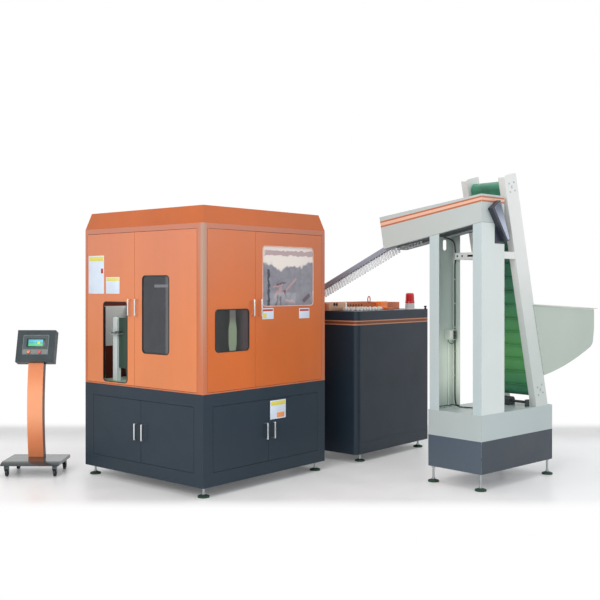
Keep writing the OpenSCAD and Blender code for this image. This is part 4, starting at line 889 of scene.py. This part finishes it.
tile("screen_glass", -80, 131, 79, 207, 1.2, GLASS)
tile("screen_top", -64, 172, 62, 199, 1.6, SKY)
tile("screen_bottom", -64, 140, 62, 171, 1.6, LEAF)
tile("screen_blot", 14, 160, 36, 180, 2.0, YELLOW)
for k in range(4):
    tile(f"screen_key_{k}", -58 + 28 * k, 144, -38 + 28 * k, 151, 2.0, SKY)
bm = bmesh.new()
add_ring(bm, (-108, 70), 216, 166, 4, 3, 1, PANEL_FACE - 1.4, PANEL_FACE + 1.5)
piece("panel_rim", bm, PANEL, M["rim"])

# Camera, fitted to the cabinet's edges
EYE_MM = (-4659, -4938, 1600)
LENS_MM = 54.29
SENSOR_MM = 36
HORIZON_SHIFT = -0.0244
scene = bpy.context.scene
camera = bpy.data.objects.new("camera", bpy.data.cameras.new("camera"))
bpy.context.collection.objects.link(camera)
eye = CAB @ Vector(EYE_MM)
sight = Vector((0.7597, 0.6502, 0))
camera.location = eye
camera.rotation_euler = sight.to_track_quat("-Z", "Y").to_euler()
camera.data.lens = LENS_MM
camera.data.sensor_width = SENSOR_MM
camera.data.shift_y = HORIZON_SHIFT
camera.data.clip_end = 200
scene.camera = camera

# Floor: pale grey with a soft band of painted shade where it meets the backdrop, and blank white
# before and behind.
# Depths are millimetres from the eye, radii metres from the middle of the floor.
FLOOR_REACH = 60
FLOOR_MIDDLE = (1.2, 0.2, 0)
BACKDROP_START, BACKDROP_FOOT, BACKDROP_END = 9000, 9900, 10700
NEAR_BLANK = (6850, 6450)
FAR_BLANK = (10000, 10600)
SIDE_BLANK = (5.0, 8.0)
floor_mesh = bpy.data.meshes.new("floor")
r = FLOOR_REACH
floor_mesh.from_pydata([(-r, -r, 0), (r, -r, 0), (r, r, 0), (-r, r, 0)], [], [(0, 1, 2, 3)])
floor = bpy.data.objects.new("floor", floor_mesh)
bpy.context.collection.objects.link(floor)
net = Net("floor_finish")
depth = axis_value(net, tuple(sight), tuple(eye))
off = net.add("ShaderNodeVectorMath", operation="DISTANCE")
net.link(net.coords, off.inputs[0])
off.inputs[1].default_value = FLOOR_MIDDLE
grey = net.ramp(net.noise(0.6, 4), [(0.3, (0.88, 0.88, 0.885, 1)), (0.7, (0.91, 0.91, 0.91, 1))])
backdrop_shade_band = net.math("MULTIPLY", slope(net, depth, BACKDROP_START, BACKDROP_FOOT),
                         slope(net, depth, BACKDROP_END, BACKDROP_FOOT))
net.set(
    Base_Color=net.mix(backdrop_shade_band, grey, (0.66, 0.655, 0.655, 1)),
    Roughness=net.ramp(net.noise(3, 4), [(0.3, 0.3), (0.7, 0.45)]),
)
blank = net.math("MAXIMUM", slope(net, depth, *NEAR_BLANK), slope(net, depth, *FAR_BLANK))
blank = net.math("MAXIMUM", blank, slope(net, off.outputs["Value"], *SIDE_BLANK))
rays = net.add("ShaderNodeLightPath")
view_rays = net.math("MAXIMUM", rays.outputs["Is Camera Ray"], rays.outputs["Is Glossy Ray"])
view_rays = net.math("MAXIMUM", view_rays, rays.outputs["Is Transmission Ray"])
light = net.add("ShaderNodeEmission")
join = net.add("ShaderNodeMixShader")
net.link(net.math("MULTIPLY", view_rays, net.math("MAXIMUM", blank, 0.1)), join.inputs[0])
net.link(net.bsdf.outputs[0], join.inputs[1])
net.link(light.outputs[0], join.inputs[2])
net.link(join.outputs[0], net.tree.nodes["Material Output"].inputs[0])
floor_mesh.materials.append(net.mat)

# World: soft light on the object, white for the camera and for what glass and metal show
world = bpy.data.worlds.new("studio")
scene.world = world
world.use_nodes = True
tree = world.node_tree
tree.nodes.clear()
out = tree.nodes.new("ShaderNodeOutputWorld")
path = tree.nodes.new("ShaderNodeLightPath")
plain, white = (tree.nodes.new("ShaderNodeBackground") for _ in range(2))
plain.inputs[0].default_value = (0.95, 0.97, 1.0, 1)
plain.inputs[1].default_value = 0.55
white.inputs[0].default_value = (1, 1, 1, 1)
white.inputs[1].default_value = 1.0
seen = path.outputs["Is Camera Ray"]
for other in ("Is Glossy Ray", "Is Transmission Ray"):
    m = tree.nodes.new("ShaderNodeMath")
    m.operation = "MAXIMUM"
    tree.links.new(seen, m.inputs[0])
    tree.links.new(path.outputs[other], m.inputs[1])
    seen = m.outputs[0]
mixer = tree.nodes.new("ShaderNodeMixShader")
tree.links.new(seen, mixer.inputs[0])
tree.links.new(plain.outputs[0], mixer.inputs[1])
tree.links.new(white.outputs[0], mixer.inputs[2])
tree.links.new(mixer.outputs[0], out.inputs[0])


def lamp(name, where, target, size, watts, colour=(1, 1, 1)):
    data = bpy.data.lights.new(name, "AREA")
    data.shape = "RECTANGLE"
    data.size, data.size_y = size
    data.energy = watts
    data.color = colour
    o = bpy.data.objects.new(name, data)
    bpy.context.collection.objects.link(o)
    o.location = where
    o.rotation_euler = (Vector(target) - Vector(where)).to_track_quat("-Z", "Y").to_euler()


lamp("key", (-7.5, -2.5, 5.0), (0, 0, 1.0), (5, 4), 330, (1.0, 0.98, 0.95))
lamp("fill", (1.5, -8.0, 4.0), (0.3, -0.5, 1.0), (6, 4), 120, (0.95, 0.98, 1.0))
lamp("top", (0.5, 0.0, 7.5), (0.5, 0, 0), (7, 7), 210)
inside = CAB @ Vector((720, 760, 2020))
lamp("inside", inside, inside - Vector((0, 0.001, 1)), (0.9, 0.9), 14)

scene.view_settings.view_transform = "Standard"
